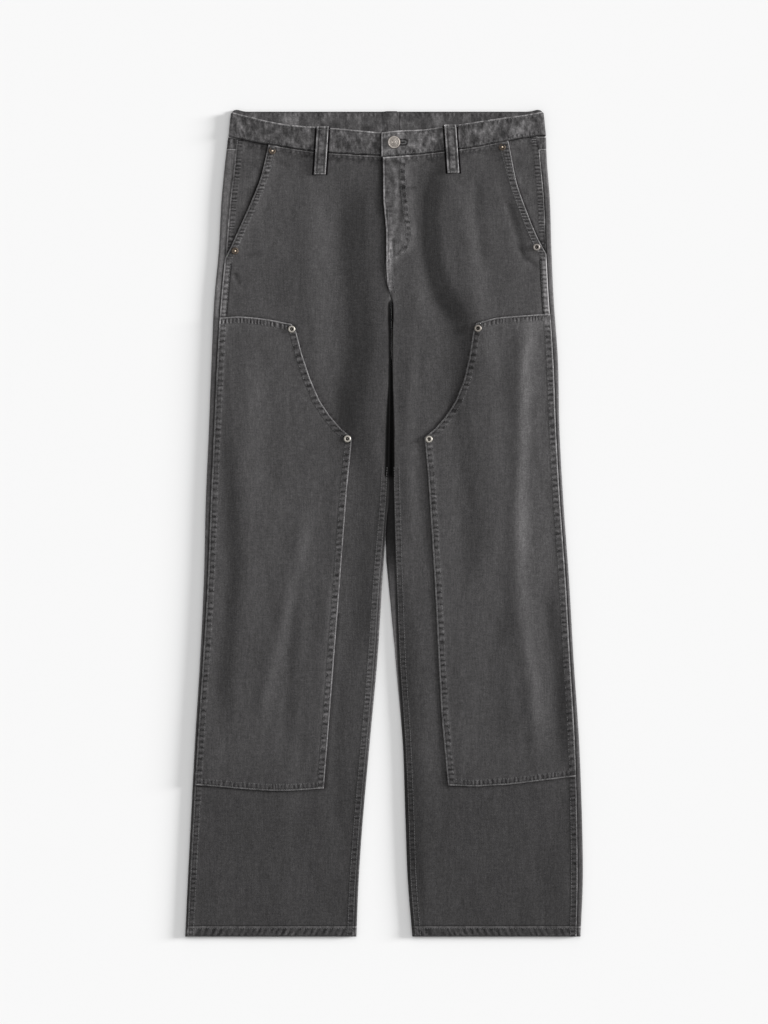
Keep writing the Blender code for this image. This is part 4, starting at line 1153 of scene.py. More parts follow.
def band_place(side):
    route = band_path(side)
    steps = np.hypot(np.diff(route[:, 0]), np.diff(route[:, 1]))
    run = np.concatenate([[0.0], np.cumsum(steps)])
    fold_edge = route[:, 0].max()

    def place(u, v):
        share = u if side == "right" else 1.0 - u
        along = share * run[-1]
        out = np.interp(along, run, route[:, 0])
        height = np.interp(along, run, route[:, 1])
        front = np.interp(along, run, route[:, 2])
        top = mix(TOP_LEVEL, band_edge(side, out, "top"), front)
        bottom = mix(BAND_BACK_BOTTOM, band_edge(side, out, "bottom"), front)
        level = mix(bottom, top, v)
        lean = BAND_LEAN * np.clip(out / 200.0, 0.0, 1.0) * (v - 0.5)
        seed = 91 if side == "right" else 93
        to_edge = np.minimum(level - bottom, top - level)
        to_end = np.where(front > 0.5, np.abs(run[-1] - along), 99.0)
        phase = pucker_phase(along, seed)
        top_side = np.clip(front * 2.0 - 1.0, 0.0, 1.0)
        end_shy = LIT_EDGE if side == "right" else UNLIT_EDGE
        edge = np.minimum(top - level, to_end + end_shy) + 3.0 * (1.0 - top_side)
        rope = 0.6 * rope_band(to_edge, 1.5, 7.0)
        crumple = cloud(along / 6.0 + 0.8 * v, v * 2.6, seed + 1)
        patch = cloud(along / 15.0, v * 1.5, seed + 2)
        fleck = cloud(along / 1.9, v * 8.0, seed + 4)
        drawn = crease_tone(sign_of(side) * out, level) * top_side
        deep = 0.30 * crumple + 0.35 * patch + 0.5 * drawn
        relief = (seam_relief(edge, rope, phase, 1.0) + deep) * top_side
        round_over = -0.5 * np.exp(-to_edge / 0.7) * top_side
        tone = 0.25 + 0.60 * crumple * soft_step(0.9 + patch) + 0.36 * patch + 0.15 * fleck + drawn
        tone = tone - 1.5 * bell(level, bottom, 1.1) * top_side
        tone = tone + (fold_tone(side, out, level) - 0.02) * top_side
        # Painted shade along the top edge of the back band's inside.
        tone = tone - 1.1 * bell(top, level, 1.2) * (1.0 - top_side)
        tone = tone - 0.8 * bell(along, 0.0, 1.3)
        turn = fold_edge - out
        tone = tone + 0.35 * bell(turn, 0.0, 6.0) * top_side
        corner = soft_step((v - 0.6) / 0.4)
        level = level - 3.0 * bell(turn, 0.0, 2.0) * corner
        level = level + 2.4 * bell(turn, 8.0, 7.0) * corner * np.where(front < 0.9, 1.0, 0.0)
        if side == "right":
            # Painted shadow on the right band beside the end of the left band, which lies over it.
            tone = tone - 2.8 * beside(out - 3.0, 2.4) * top_side
        else:
            tone = tone + buttonhole_tone(out, level) * top_side
        crush = mix(0.5, 0.92, top_side)
        height = height + relief + round_over
        return sign_of(side) * (out - lean), level, height, edge, rope, phase, tone, crush
    return place


def loop_place(spot):
    band_bottom = float(band_edge(spot.side, np.array(spot.top_out), "bottom"))
    over_band = BAND_HEIGHT + LAYER_GAP + LOOP_CLOTH + 1.2
    middle = mix(spot.top_out, spot.bottom_out, 0.5)
    foot = np.array([spot.bottom_level + 6.0])
    over_front = float(front_height(spot.side, np.array([middle]), foot)[0]) + LAYER_GAP + LOOP_CLOTH + 1.4
    levels = [spot.bottom_level, band_bottom - 20.0, band_bottom - 8.0, band_bottom - 1.0,
              spot.top_level - 1.5, spot.top_level + 0.8]
    rising = mix(over_front, over_band, 0.55)
    heights = [over_front, over_front, rising, over_band, over_band, over_band - 1.2]

    def place(u, v):
        share = share_of(spot.side, u)
        level = mix(spot.bottom_level, spot.top_level + 0.8, v)
        centre = mix(spot.bottom_out, spot.top_out, v)
        out = centre + (share - 0.5) * LOOP_WIDTH
        height = np.interp(level, levels, heights)
        to_side = LOOP_WIDTH * (0.5 - np.abs(share - 0.5))
        phase = pucker_phase(level, 101)
        crown = -0.3 * np.exp(-to_side / 0.8) - 0.3 * bell(to_side, 3.2, 0.8)
        from_end = np.minimum(level - spot.bottom_level, spot.top_level + 0.8 - level)
        rope = 0.5 * soft_step((to_side - 3.6) / 1.0)
        tone = 0.50 - 1.3 * bell(to_side, 3.4, 0.8) + 0.45 * cloud(out / 4.0, level / 5.0, 107)
        tone = tone + 0.15 * np.exp(-to_side / 2.0)
        lit_side = share if spot.side == "left" else 1.0 - share
        edge = np.minimum(to_side + np.where(lit_side > 0.5, 1.3 * LIT_EDGE, 0.0), from_end)
        crush = np.full_like(u, 0.8)
        return sign_of(spot.side) * out, level, height + crown, edge, rope, phase, tone, crush
    return place


def back_loop_place(u, v):
    out = BACK_LOOP_OUT + (u - 0.5) * LOOP_WIDTH
    level = mix(BAND_BACK_BOTTOM, TOP_LEVEL + 0.9, v)
    to_side = LOOP_WIDTH * (0.5 - np.abs(u - 0.5))
    zero = np.zeros_like(u)
    return -out, level, zero, to_side, rope_band(to_side), pucker_phase(level, 103), zero, zero


def lay_cloth(name, node, grid, place, thickness):
    """Builds a sheet in a node's place and hides the node."""
    piece = cloth_piece(name, *grid, place, thickness)
    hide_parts(node)
    area = sum(polygon.area for polygon in piece.data.polygons)
    return piece.name


def build_cloth():
    for side in ("right", "left"):
        back = lay_cloth("back_panel_" + side, "back_" + side, (64, 270), back_place(side),
                         CLOTH)
        yoke = lay_cloth("yoke_cloth_" + side, "yoke_" + side, (90, 26), yoke_place(side),
                         CLOTH)
        columns = 92 if side == "left" else 74
        front = lay_cloth("front_panel_" + side, "front_" + side, (columns, 500), front_place(side),
                          CLOTH)
        lay_cloth("pocket_back_" + side, "pocket_facing_" + side, (40, 90), facing_place(side),
                  CLOTH)
        lay_cloth("knee_doubling_" + side, "knee_panel_" + side, (76, 330), knee_place(side),
                  CLOTH)
        lay_cloth("waistband_cloth_" + side, "waistband_" + side, (340, 36), band_place(side),
                  BAND_CLOTH)
    for spot in BELT_LOOPS:
        lay_cloth("loop_strip_" + spot.side, spot.name, (22, 70), loop_place(spot),
                  LOOP_CLOTH)
    lay_cloth("loop_strip_back", "belt_loop_back", (16, 30), back_loop_place,
              BACK_LOOP_CLOTH)


# Shader node groups

def socket(group, name, kind, way, value=None):
    made = group.interface.new_socket(name=name, in_out=way, socket_type=kind)
    if value is not None:
        made.default_value = value
    return made


class Nodes:
    """Short calls for adding and joining the nodes of one tree."""

    def __init__(self, tree):
        self.tree = tree

    def add(self, kind, **settings):
        node = self.tree.nodes.new(kind)
        for key, value in settings.items():
            setattr(node, key, value)
        return node

    def put(self, node, **inputs):
        for key, value in inputs.items():
            target = node.inputs[key.replace("_", " ")]
            self.join(value, target)
        return node

    def join(self, value, target):
        if isinstance(value, bpy.types.NodeSocket):
            self.tree.links.new(value, target)
        else:
            target.default_value = value

    def math(self, operation, a, b=0.0, c=0.0):
        node = self.add("ShaderNodeMath", operation=operation)
        for target, value in zip(node.inputs, (a, b, c)):
            self.join(value, target)
        return node.outputs[0]

    def span(self, value, low, high, to_low=0.0, to_high=1.0, smooth_ends=True):
        node = self.add("ShaderNodeMapRange")
        node.interpolation_type = "SMOOTHSTEP" if smooth_ends else "LINEAR"
        for key, given in (("Value", value), ("From Min", low), ("From Max", high),
                           ("To Min", to_low), ("To Max", to_high)):
            self.join(given, node.inputs[key])
        return node.outputs["Result"]

    def noise(self, vector, scale, detail=2.0, rough=0.5, stretch=None):
        if stretch is not None:
            mapping = self.add("ShaderNodeMapping")
            self.join(vector, mapping.inputs["Vector"])
            mapping.inputs["Scale"].default_value = stretch
            vector = mapping.outputs["Vector"]
        node = self.add("ShaderNodeTexNoise")
        self.put(node, Vector=vector, Scale=scale, Detail=detail, Roughness=rough)
        return node.outputs["Fac"]

    def attribute(self, name):
        return self.add("ShaderNodeAttribute", attribute_name=name).outputs["Fac"]

    def bump(self, height, strength, distance, shader):
        node = self.add("ShaderNodeBump")
        self.put(node, Height=height, Strength=strength, Distance=distance)
        self.join(node.outputs["Normal"], shader.inputs["Normal"])

    def colour_mix(self, factor, low, high):
        node = self.add("ShaderNodeMix", data_type="RGBA")
        self.join(factor, node.inputs["Factor"])
        self.join(low, node.inputs[6])
        self.join(high, node.inputs[7])
        return node.outputs[2]


def new_group(name, inputs, outputs):
    group = bpy.data.node_groups.new(name, "ShaderNodeTree")
    for label, kind, value in inputs:
        socket(group, label, kind, "INPUT", value)
    for label, kind in outputs:
        socket(group, label, kind, "OUTPUT")
    nodes = Nodes(group)
    start = nodes.add("NodeGroupInput")
    end = nodes.add("NodeGroupOutput")
    return group, nodes, start.outputs, end.inputs


def build_weave_group():
    """Duck weave with slubs: its height in millimetres, and a tone about zero."""
    group, nodes, given, result = new_group(
        "duck weave",
        [("Vector", "NodeSocketVector", None), ("Threads", "NodeSocketFloat", THREADS_PER_METRE)],
        [("Height", "NodeSocketFloat"), ("Tone", "NodeSocketFloat")],
    )
    warp = nodes.add("ShaderNodeTexWave", wave_type="BANDS", bands_direction="X")
    nodes.put(warp, Vector=given["Vector"], Scale=given["Threads"], Distortion=1.5)
    weft = nodes.add("ShaderNodeTexWave", wave_type="BANDS", bands_direction="Y")
    nodes.put(weft, Vector=given["Vector"], Scale=given["Threads"], Distortion=1.5)
    cross = nodes.math("MULTIPLY", warp.outputs["Fac"], weft.outputs["Fac"])
    slub_up = nodes.noise(given["Vector"], 1.0, 3.0, 0.6, (620.0, 70.0, 620.0))
    slub_across = nodes.noise(given["Vector"], 1.0, 2.0, 0.6, (90.0, 620.0, 90.0))
    grain = nodes.noise(given["Vector"], 520.0, 3.0, 0.75)
    height = nodes.math("MULTIPLY", cross, 0.10)
    height = nodes.math("MULTIPLY_ADD", slub_up, 0.20, height)
    height = nodes.math("MULTIPLY_ADD", slub_across, 0.10, height)
    height = nodes.math("MULTIPLY_ADD", grain, 0.30, height)
    tone = nodes.math("MULTIPLY_ADD", slub_up, 1.0, -1.85)
    tone = nodes.math("MULTIPLY_ADD", slub_across, 0.6, tone)
    tone = nodes.math("MULTIPLY_ADD", grain, 2.1, tone)
    nodes.join(height, result["Height"])
    nodes.join(tone, result["Tone"])
    return group


def build_wash_group():
    """Cloudy unevenness of a garment wash, about zero, from broad patches to small flecks."""
    group, nodes, given, result = new_group(
        "garment wash", [("Vector", "NodeSocketVector", None)], [("Tone", "NodeSocketFloat")])
    broad = nodes.noise(given["Vector"], 1.0, 3.0, 0.55, (20.0, 9.0, 20.0))
    streak = nodes.noise(given["Vector"], 1.0, 3.0, 0.6, (170.0, 26.0, 170.0))
    fleck = nodes.noise(given["Vector"], 210.0, 3.0, 0.65)
    tone = nodes.math("MULTIPLY_ADD", broad, 0.5, -0.85)
    tone = nodes.math("MULTIPLY_ADD", streak, 0.6, tone)
    tone = nodes.math("MULTIPLY_ADD", fleck, 0.6, tone)
    nodes.join(tone, result["Tone"])
    return group


def build_pucker_group():
    """Roping between rows of stitches, and the worn lip of an edge."""
    group, nodes, given, result = new_group(
        "seam pucker",
        [("Vector", "NodeSocketVector", None), ("Edge", "NodeSocketFloat", 50.0),
         ("Rope", "NodeSocketFloat", 0.0), ("Phase", "NodeSocketFloat", 0.0),
         ("Crush", "NodeSocketFloat", 0.0)],
        [("Height", "NodeSocketFloat"), ("Tone", "NodeSocketFloat")],
    )
    ragged = nodes.noise(given["Vector"], 300.0, 2.0, 0.6)
    shifted = nodes.math("MULTIPLY_ADD", ragged, 3.6, given["Phase"])
    wave = nodes.math("SINE", shifted)
    patchy = nodes.noise(given["Vector"], 120.0, 2.0, 0.5)
    amount = nodes.math("MULTIPLY", nodes.span(patchy, 0.34, 0.64, 0.25, 1.25), given["Rope"])
    height = nodes.math("MULTIPLY", wave, amount)
    # Pucker crests are painted paler and hollows darker: partly rubbed wear, partly painted light and
    # painted shade.
    crest = nodes.math("MULTIPLY", nodes.span(wave, 0.0, 1.0), amount)
    hollow = nodes.math("MULTIPLY", nodes.span(wave, 0.0, -0.9), amount)
    tone = nodes.math("MULTIPLY_ADD", crest, 0.44, nodes.math("MULTIPLY", hollow, -0.85))
    worn = nodes.noise(given["Vector"], 140.0, 3.0, 0.6)
    edge = given["Edge"]
    lip = nodes.math("MULTIPLY", nodes.span(edge, 2.1, 0.9), nodes.span(worn, 0.36, 0.6, 0.5, 1.0))
    # A dark band just inside the worn lip: painted shade along the first row of stitches.
    under = nodes.math("MULTIPLY", nodes.span(edge, 3.6, 2.7), nodes.span(edge, 1.7, 2.5))
    tone = nodes.math("MULTIPLY_ADD", lip, 1.55, tone)
    tone = nodes.math("MULTIPLY_ADD", under, -0.45, tone)
    blot = nodes.noise(given["Vector"], 1.0, 2.0, 0.6, (150.0, 105.0, 150.0))
    blot = nodes.span(blot, 0.33, 0.67, -1.0, 1.0, smooth_ends=False)
    blot = nodes.math("MULTIPLY", blot, given["Crush"])
    height = nodes.math("MULTIPLY_ADD", blot, 1.5, height)
    tone = nodes.math("MULTIPLY_ADD", blot, 0.80, tone)
    nodes.join(height, result["Height"])
    nodes.join(tone, result["Tone"])
    return group


def build_outline_group():
    """Narrow dark strips on both sides of a belt loop: painted shadow where its edges stand over the
    cloth.
    """
    group, nodes, given, result = new_group(
        "beside a belt loop",
        [("Vector", "NodeSocketVector", None), ("Foot", "NodeSocketFloat", 0.0),
         ("Lean", "NodeSocketFloat", 0.0), ("Low", "NodeSocketFloat", 0.0),
         ("High", "NodeSocketFloat", 1.0)],
        [("Mask", "NodeSocketFloat")],
    )
    parts = nodes.add("ShaderNodeSeparateXYZ")
    nodes.join(given["Vector"], parts.inputs["Vector"])
    rise = nodes.math("SUBTRACT", parts.outputs["Y"], given["Low"])
    middle = nodes.math("MULTIPLY_ADD", rise, given["Lean"], given["Foot"])
    far = nodes.math("ABSOLUTE", nodes.math("SUBTRACT", parts.outputs["X"], middle))
    half = LOOP_WIDTH / 2 * MM
    beyond = nodes.span(far, half - 0.2 * MM, half + 0.1 * MM)
    near = nodes.span(far, half + 3.0 * MM, half + 1.8 * MM)
    above_foot = nodes.span(rise, -1.5 * MM, 0.0)
    depth = nodes.math("SUBTRACT", given["High"], parts.outputs["Y"])
    below_top = nodes.span(depth, -0.5 * MM, 1.0 * MM)
    upper_side = nodes.span(parts.outputs["Z"], REST_HEIGHT * 0.4 * MM, REST_HEIGHT * 0.5 * MM)
    near = nodes.math("MULTIPLY", near, upper_side)
    mask = nodes.math("MULTIPLY", nodes.math("MULTIPLY", beyond, near), above_foot)
    nodes.join(nodes.math("MULTIPLY", mask, below_top), result["Mask"])
    return group


def use_group(nodes, group, **inputs):
    node = nodes.add("ShaderNodeGroup")
    node.node_tree = group
    nodes.put(node, **inputs)
    return node.outputs


def start_material(name):
    material = bpy.data.materials.new(name)
    material.use_nodes = True
    nodes = Nodes(material.node_tree)
    shader = material.node_tree.nodes["Principled BSDF"]
    vector = nodes.add("ShaderNodeTexCoord").outputs["Object"]
    return nodes, shader, vector


def grey(value, warm=0.0):
    return (value * (1.0 + warm), value, value * (1.0 + warm * 0.25), 1.0)


def build_canvas(groups):
    """Washed cotton canvas. All tones are doublings of the cloth's own grey."""
    nodes, shader, vector = start_material("washed canvas")
    weave = use_group(nodes, groups["weave"], Vector=vector, Threads=THREADS_PER_METRE)
    wash = use_group(nodes, groups["wash"], Vector=vector)
    pucker = use_group(nodes, groups["pucker"], Vector=vector, Edge=nodes.attribute("edge"),
                       Rope=nodes.attribute("rope"), Phase=nodes.attribute("phase"),
                       Crush=nodes.attribute("crush"))
    tone = nodes.math("ADD", weave["Tone"], wash["Tone"])
    tone = nodes.math("ADD", tone, nodes.attribute("tone"))
    tone = nodes.math("ADD", tone, pucker["Tone"])
    for spot in BELT_LOOPS:
        sign = sign_of(spot.side)
        lean = sign * (spot.top_out - spot.bottom_out) / (spot.top_level - spot.bottom_level)
        outline = use_group(nodes, groups["outline"], Vector=vector, Lean=lean,
                            Foot=sign * spot.bottom_out * MM, Low=spot.bottom_level * MM,
                            High=spot.top_level * MM)
        # Painted shadow beside each belt loop.
        tone = nodes.math("MULTIPLY_ADD", outline["Mask"], -3.8, tone)
    value = nodes.math("MULTIPLY", nodes.math("POWER", 2.0, tone), CLOTH_GREY)
    value = nodes.math("MINIMUM", value, PALEST_CLOTH)
    colour = nodes.add("ShaderNodeCombineColor")
    nodes.put(colour, Red=nodes.math("MULTIPLY", value, 1.035), Green=value,
              Blue=nodes.math("MULTIPLY", value, 1.012))
    nodes.join(colour.outputs["Color"], shader.inputs["Base Color"])
    rough = nodes.span(wash["Tone"], -0.3, 0.3, 0.86, 0.96)
    nodes.join(rough, shader.inputs["Roughness"])
    shader.inputs["Specular IOR Level"].default_value = 0.03
    shader.inputs["Sheen Weight"].default_value = 0.03
    shader.inputs["Sheen Roughness"].default_value = 0.6
    height = nodes.math("MULTIPLY_ADD", pucker["Height"], 0.22, weave["Height"])
    nodes.bump(height, 0.8, 0.001, shader)


def build_plain_canvas(groups):
    """The same cloth without worn edges, for a facing that lies inside."""
    nodes, shader, vector = start_material("facing canvas")
    weave = use_group(nodes, groups["weave"], Vector=vector, Threads=THREADS_PER_METRE)
    wash = use_group(nodes, groups["wash"], Vector=vector)
    tone = nodes.math("ADD", weave["Tone"], wash["Tone"])
    value = nodes.math("MULTIPLY", nodes.math("POWER", 2.0, tone), CLOTH_GREY)
    colour = nodes.add("ShaderNodeCombineColor")
    nodes.put(colour, Red=value, Green=value, Blue=value)
    nodes.join(colour.outputs["Color"], shader.inputs["Base Color"])
    shader.inputs["Roughness"].default_value = 0.9
    nodes.bump(weave["Height"], 0.8, 0.001, shader)


def build_thread(groups):
    nodes, shader, vector = start_material("sewing thread")
    twist = nodes.noise(vector, 2200.0, 1.0, 0.5)
    wash = use_group(nodes, groups["wash"], Vector=vector)
    tone = nodes.math("MULTIPLY_ADD", twist, 0.5, wash["Tone"])
    colour = nodes.colour_mix(nodes.span(tone, -0.1, 0.6), grey(0.05), grey(0.16, 0.01))
    nodes.join(colour, shader.inputs["Base Color"])
    shader.inputs["Roughness"].default_value = 0.7
    nodes.bump(twist, 0.4, 0.0001, shader)


def build_aged_metal_group():
    """Patina that lies in hollows and rubs off crests."""
    group, nodes, given, result = new_group(
        "aged metal",
        [("Vector", "NodeSocketVector", None), ("Bare", "NodeSocketColor", (0.6, 0.6, 0.6, 1.0)),
         ("Patina", "NodeSocketColor", (0.05, 0.05, 0.05, 1.0)), ("Age", "NodeSocketFloat", 0.5),
         ("Hollow", "NodeSocketFloat", 0.0)],
        [("Color", "NodeSocketColor"), ("Roughness", "NodeSocketFloat"), ("Height", "NodeSocketFloat")],
    )
    spots = nodes.noise(given["Vector"], 900.0, 4.0, 0.65)
    haze = nodes.noise(given["Vector"], 260.0, 3.0, 0.6)
    cover = nodes.math("ADD", nodes.math("MULTIPLY", spots, 0.35), nodes.math("MULTIPLY", haze, 0.25))
    cover = nodes.math("ADD", cover, nodes.math("MULTIPLY_ADD", given["Age"], 0.5, -0.05))
    cover = nodes.math("MULTIPLY_ADD", given["Hollow"], 0.5, cover)
    mask = nodes.span(cover, 0.4, 0.72)
    nodes.join(nodes.colour_mix(mask, given["Bare"], given["Patina"]), result["Color"])
    nodes.join(nodes.span(mask, 0.0, 1.0, 0.5, 0.75), result["Roughness"])
    nodes.join(spots, result["Height"])
    return group


def build_metal(name, groups, bare, patina, age):
    nodes, shader, vector = start_material(name)
    aged = use_group(nodes, groups["metal"], Vector=vector, Bare=bare, Patina=patina, Age=age,
                     Hollow=nodes.attribute("hollow"))
    nodes.join(aged["Color"], shader.inputs["Base Color"])
    nodes.join(aged["Roughness"], shader.inputs["Roughness"])
    shader.inputs["Metallic"].default_value = 1.0
    nodes.bump(aged["Height"], 0.3, 0.00008, shader)


def build_materials():
    groups = {
        "weave": build_weave_group(),
        "wash": build_wash_group(),
        "pucker": build_pucker_group(),
        "metal": build_aged_metal_group(),
        "outline": build_outline_group(),
    }
    build_canvas(groups)
    build_plain_canvas(groups)
    build_thread(groups)
    build_metal("dark bronze", groups, (0.44, 0.36, 0.28, 1), (0.10, 0.08, 0.065, 1), 0.5)
    build_metal("rubbed bronze", groups, (0.31, 0.285, 0.265, 1), (0.06, 0.05, 0.045, 1), 0.25)
    build_metal("bright nickel", groups, (0.43, 0.405, 0.365, 1), (0.05, 0.045, 0.04, 1), 0.18)
    build_metal("dulled nickel", groups, (0.34, 0.31, 0.28, 1), (0.05, 0.045, 0.04, 1), 0.35)
    build_metal("aged pewter", groups, (0.60, 0.555, 0.51, 1), (0.24, 0.21, 0.19, 1), 0.35)


# Metal pieces, turned from profiles of radius, height and how deep the patina sits

RIVET_RADIUS = 4.7
RIVET_HEIGHT = 1.7
RIVET_STEPS = 40
BURR = (
    (0.0, 0.0, 0), (0.9, 0.0, 0), (0.98, 0.15, 1.2), (1.0, 0.35, 1.0), (0.97, 0.6, 0.5),
    (0.86, 0.85, 0.3), (0.72, 0.9, 0.4), (0.52, 0.7, 0.9), (0.40, 0.5, 1.4), (0.31, 0.55, 0.6),
    (0.24, 0.85, -0.8), (0.12, 1.0, -1.2), (0.0, 1.02, -1.2),
)
RING = (
    (0.0, 0.0, 0), (0.9, 0.0, 0), (0.98, 0.2, 0.6), (1.0, 0.45, 0.2), (0.94, 0.8, 0.0),
    (0.84, 0.97, 0.0), (0.70, 1.0, 0.0), (0.54, 0.95, 0.1), (0.44, 0.75, 0.9), (0.40, 0.3, 3.0),
    (0.25, 0.28, 3.0), (0.17, 0.5, 0.6), (0.0, 0.56, 0.0),
)
BUTTON_RADIUS = 8.2
BUTTON_THICKNESS = 3.0
BUTTON_STEPS = 64
BUTTON_GROOVES = (0.64, 0.46, 0.28)
# The rim's outer wall gets the highest patina values: painted shade that dulls the glint it catches from
# the low key light.
BUTTON_RIM = (
    (0.0, 0.0, 0), (0.45, 0.0, 0.6), (0.5, 0.3, 0.9), (0.92, 0.36, 2.0), (0.99, 0.5, 2.0),
    (1.0, 0.62, 2.0), (0.98, 0.80, 1.6), (0.92, 0.95, 0.2), (0.84, 1.0, 0.0), (0.77, 0.94, 0.3),
    (0.72, 0.82, 0.9),
)


def turned(name, profile, steps, material):
    """A turned piece from (radius, height, hollow) rows that start and end on the axis."""
    bm = bmesh.new()
    verts = [bm.verts.new((row[0] * MM, 0.0, row[1] * MM)) for row in profile]
    edges = [bm.edges.new(pair) for pair in zip(verts, verts[1:])]
    bmesh.ops.spin(bm, geom=verts + edges, cent=(0, 0, 0), axis=(0, 0, 1), angle=2 * math.pi,
                   steps=steps, use_merge=True)
    bmesh.ops.remove_doubles(bm, verts=bm.verts, dist=0.000004)
    bmesh.ops.recalc_face_normals(bm, faces=bm.faces)
    mesh = finish_mesh(name, bm)
    points = points_of(mesh) / MM
    radius = np.hypot(points[:, 0], points[:, 1])
    foot = 0.05
    radii = np.array([row[0] for row in profile if row[1] > foot][::-1])
    hollows = np.array([row[2] for row in profile if row[1] > foot][::-1])
    order = np.argsort(radii)
    hollow = np.where(points[:, 2] > foot, np.interp(radius, radii[order], hollows[order]), 0.5)
    add_values(mesh, hollow=hollow)
    mesh.shade_smooth()
    mesh.set_sharp_from_angle(angle=math.radians(50))
    mesh.materials.append(bpy.data.materials[material])
    return new_piece(name, mesh)


def lay(piece, x, level, height, tilt_x=0.0, tilt_y=0.0, turn=0.0):
    """Moves a piece's mesh to its place and leaves its object at the origin."""
    place = Matrix.Translation((x * MM, level * MM, height * MM))
    place = place @ Matrix.Rotation(tilt_x, 4, "X") @ Matrix.Rotation(tilt_y, 4, "Y")
    piece.data.transform(place @ Matrix.Rotation(math.radians(turn), 4, "Z"))


def seat(spot, extra):
    reach = 4.0
    outs = np.array([0.0, -reach, reach, 0.0, 0.0]) + spot.out
    levels = np.array([0.0, 0.0, 0.0, -reach, reach]) + spot.level
    heights = front_height(spot.side, outs, levels)
    slope = (heights[2] - heights[1]) / (2 * reach) * sign_of(spot.side)
    return float(heights.max()) + extra, slope


def scaled(radius, height, shares):
    """A turned profile from shares of the radius and height, with its hollows."""
    return [(radius * out, height * up, hollow) for out, up, hollow in shares]


def set_rivet(spot, profile, look, extra):
    shape = scaled(RIVET_RADIUS, RIVET_HEIGHT, profile)
    piece = turned(spot.name + "_head", shape, RIVET_STEPS, look)
    base, slope = seat(spot, extra)
    lay(piece, sign_of(spot.side) * spot.out, spot.level, base, tilt_y=-slope, turn=spot.turn)
    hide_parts(spot.name)


def build_rivets():
    for spot in POCKET_RIVETS:
        rubbed = spot.name == RUBBED_RIVET
        look = "rubbed bronze" if rubbed else "dark bronze"
        set_rivet(spot, RING if rubbed else BURR, look, 0.25)
    for spot in KNEE_RIVETS:
        look = "dulled nickel" if spot.name == DULLED_RIVET else "bright nickel"
        set_rivet(spot, RING, look, CLOTH + LAYER_GAP + 0.4)


def build_button():
    shares = list(BUTTON_RIM)
    for groove in BUTTON_GROOVES:
        shares += [(groove + 0.03, 0.92, -0.2), (groove - 0.03, 0.93, -0.2), (groove - 0.08, 0.74, 1.3)]
    shares += [(0.12, 0.88, 0.1), (0.0, 0.9, 0.0)]
    profile = scaled(BUTTON_RADIUS, BUTTON_THICKNESS, shares)
    piece = turned("button_head", profile, BUTTON_STEPS, "aged pewter")
    lay(piece, BUTTON.out, BUTTON.level, BAND_END_HEIGHT + 0.35, tilt_x=0.02, tilt_y=-0.03)
    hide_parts(BUTTON.name)


# Sewing

def stitch_template():
    """One low stitch: a short sphere, longer than it is wide, along +X."""
    bm = bmesh.new()
    bmesh.ops.create_uvsphere(bm, u_segments=5, v_segments=4, radius=0.5)
    bmesh.ops.rotate(bm, cent=(0, 0, 0), matrix=Matrix.Rotation(math.pi / 2, 3, "Y"), verts=bm.verts)
    mesh = finish_mesh("stitch", bm)
    points = points_of(mesh).astype(float)
    faces = [tuple(polygon.vertices) for polygon in mesh.polygons]
    bpy.data.meshes.remove(mesh)
    return points, faces


def stitches_along(path, pitch, length, width, height_of):
    """Centres and directions of the stitches that follow a route of (x, level) points."""
    path = np.array(path, float)
    steps = np.hypot(*np.diff(path, axis=0).T)
    run = np.concatenate([[0.0], np.cumsum(steps)])
    count = max(1, int(run[-1] / pitch))
    at = (np.arange(count) + 0.5) * run[-1] / count
    ends = []
    for shift in (-length / 2, length / 2):
        x = np.interp(at + shift, run, path[:, 0])
        level = np.interp(at + shift, run, path[:, 1])
        ends.append(np.stack([x, level, height_of(x, level)], axis=1))
    return ends[0], ends[1], np.full(count, width)


def sew(name, rows):
    """Joins many rows of stitches into one piece of thread."""
    template, faces = stitch_template()
    starts = np.concatenate([row[0] for row in rows])
    ends = np.concatenate([row[1] for row in rows])
    widths = np.concatenate([row[2] for row in rows])
    along = ends - starts
    length = np.linalg.norm(along, axis=1, keepdims=True)
    direction = along / length
    sideways = np.cross(np.array([0.0, 0.0, 1.0]), direction)
    sideways /= np.linalg.norm(sideways, axis=1, keepdims=True)
    upward = np.cross(direction, sideways)
    centre = (starts + ends) / 2
    points = centre[:, None, :]
    points = points + template[None, :, 0:1] * (length * 1.02)[:, None, :] * direction[:, None, :]
    points = points + template[None, :, 1:2] * widths[:, None, None] * sideways[:, None, :]
    points = points + template[None, :, 2:3] * widths[:, None, None] * upward[:, None, :]
    count = len(template)
    all_faces = []
    for i in range(len(starts)):
        all_faces.extend(tuple(v + i * count for v in face) for face in faces)
    mesh = bpy.data.meshes.new(name)
    mesh.from_pydata((points.reshape(-1, 3) * MM).tolist(), [], all_faces)
    mesh.shade_smooth()
    mesh.materials.append(bpy.data.materials["sewing thread"])
    return new_piece(name, mesh)


def on_front(side, lift=0.0):
    def height_of(x, level):
        out = x * sign_of(side)
        return front_height(side, out, level) + lift
    return height_of


def sewn_row(side, outs, levels, lift=0.2):
    """One row of stitches on the front through the given places."""
    path = list(zip(sign_of(side) * outs, levels))
    return stitches_along(path, STITCH_PITCH, STITCH_LENGTH, THREAD, on_front(side, lift))


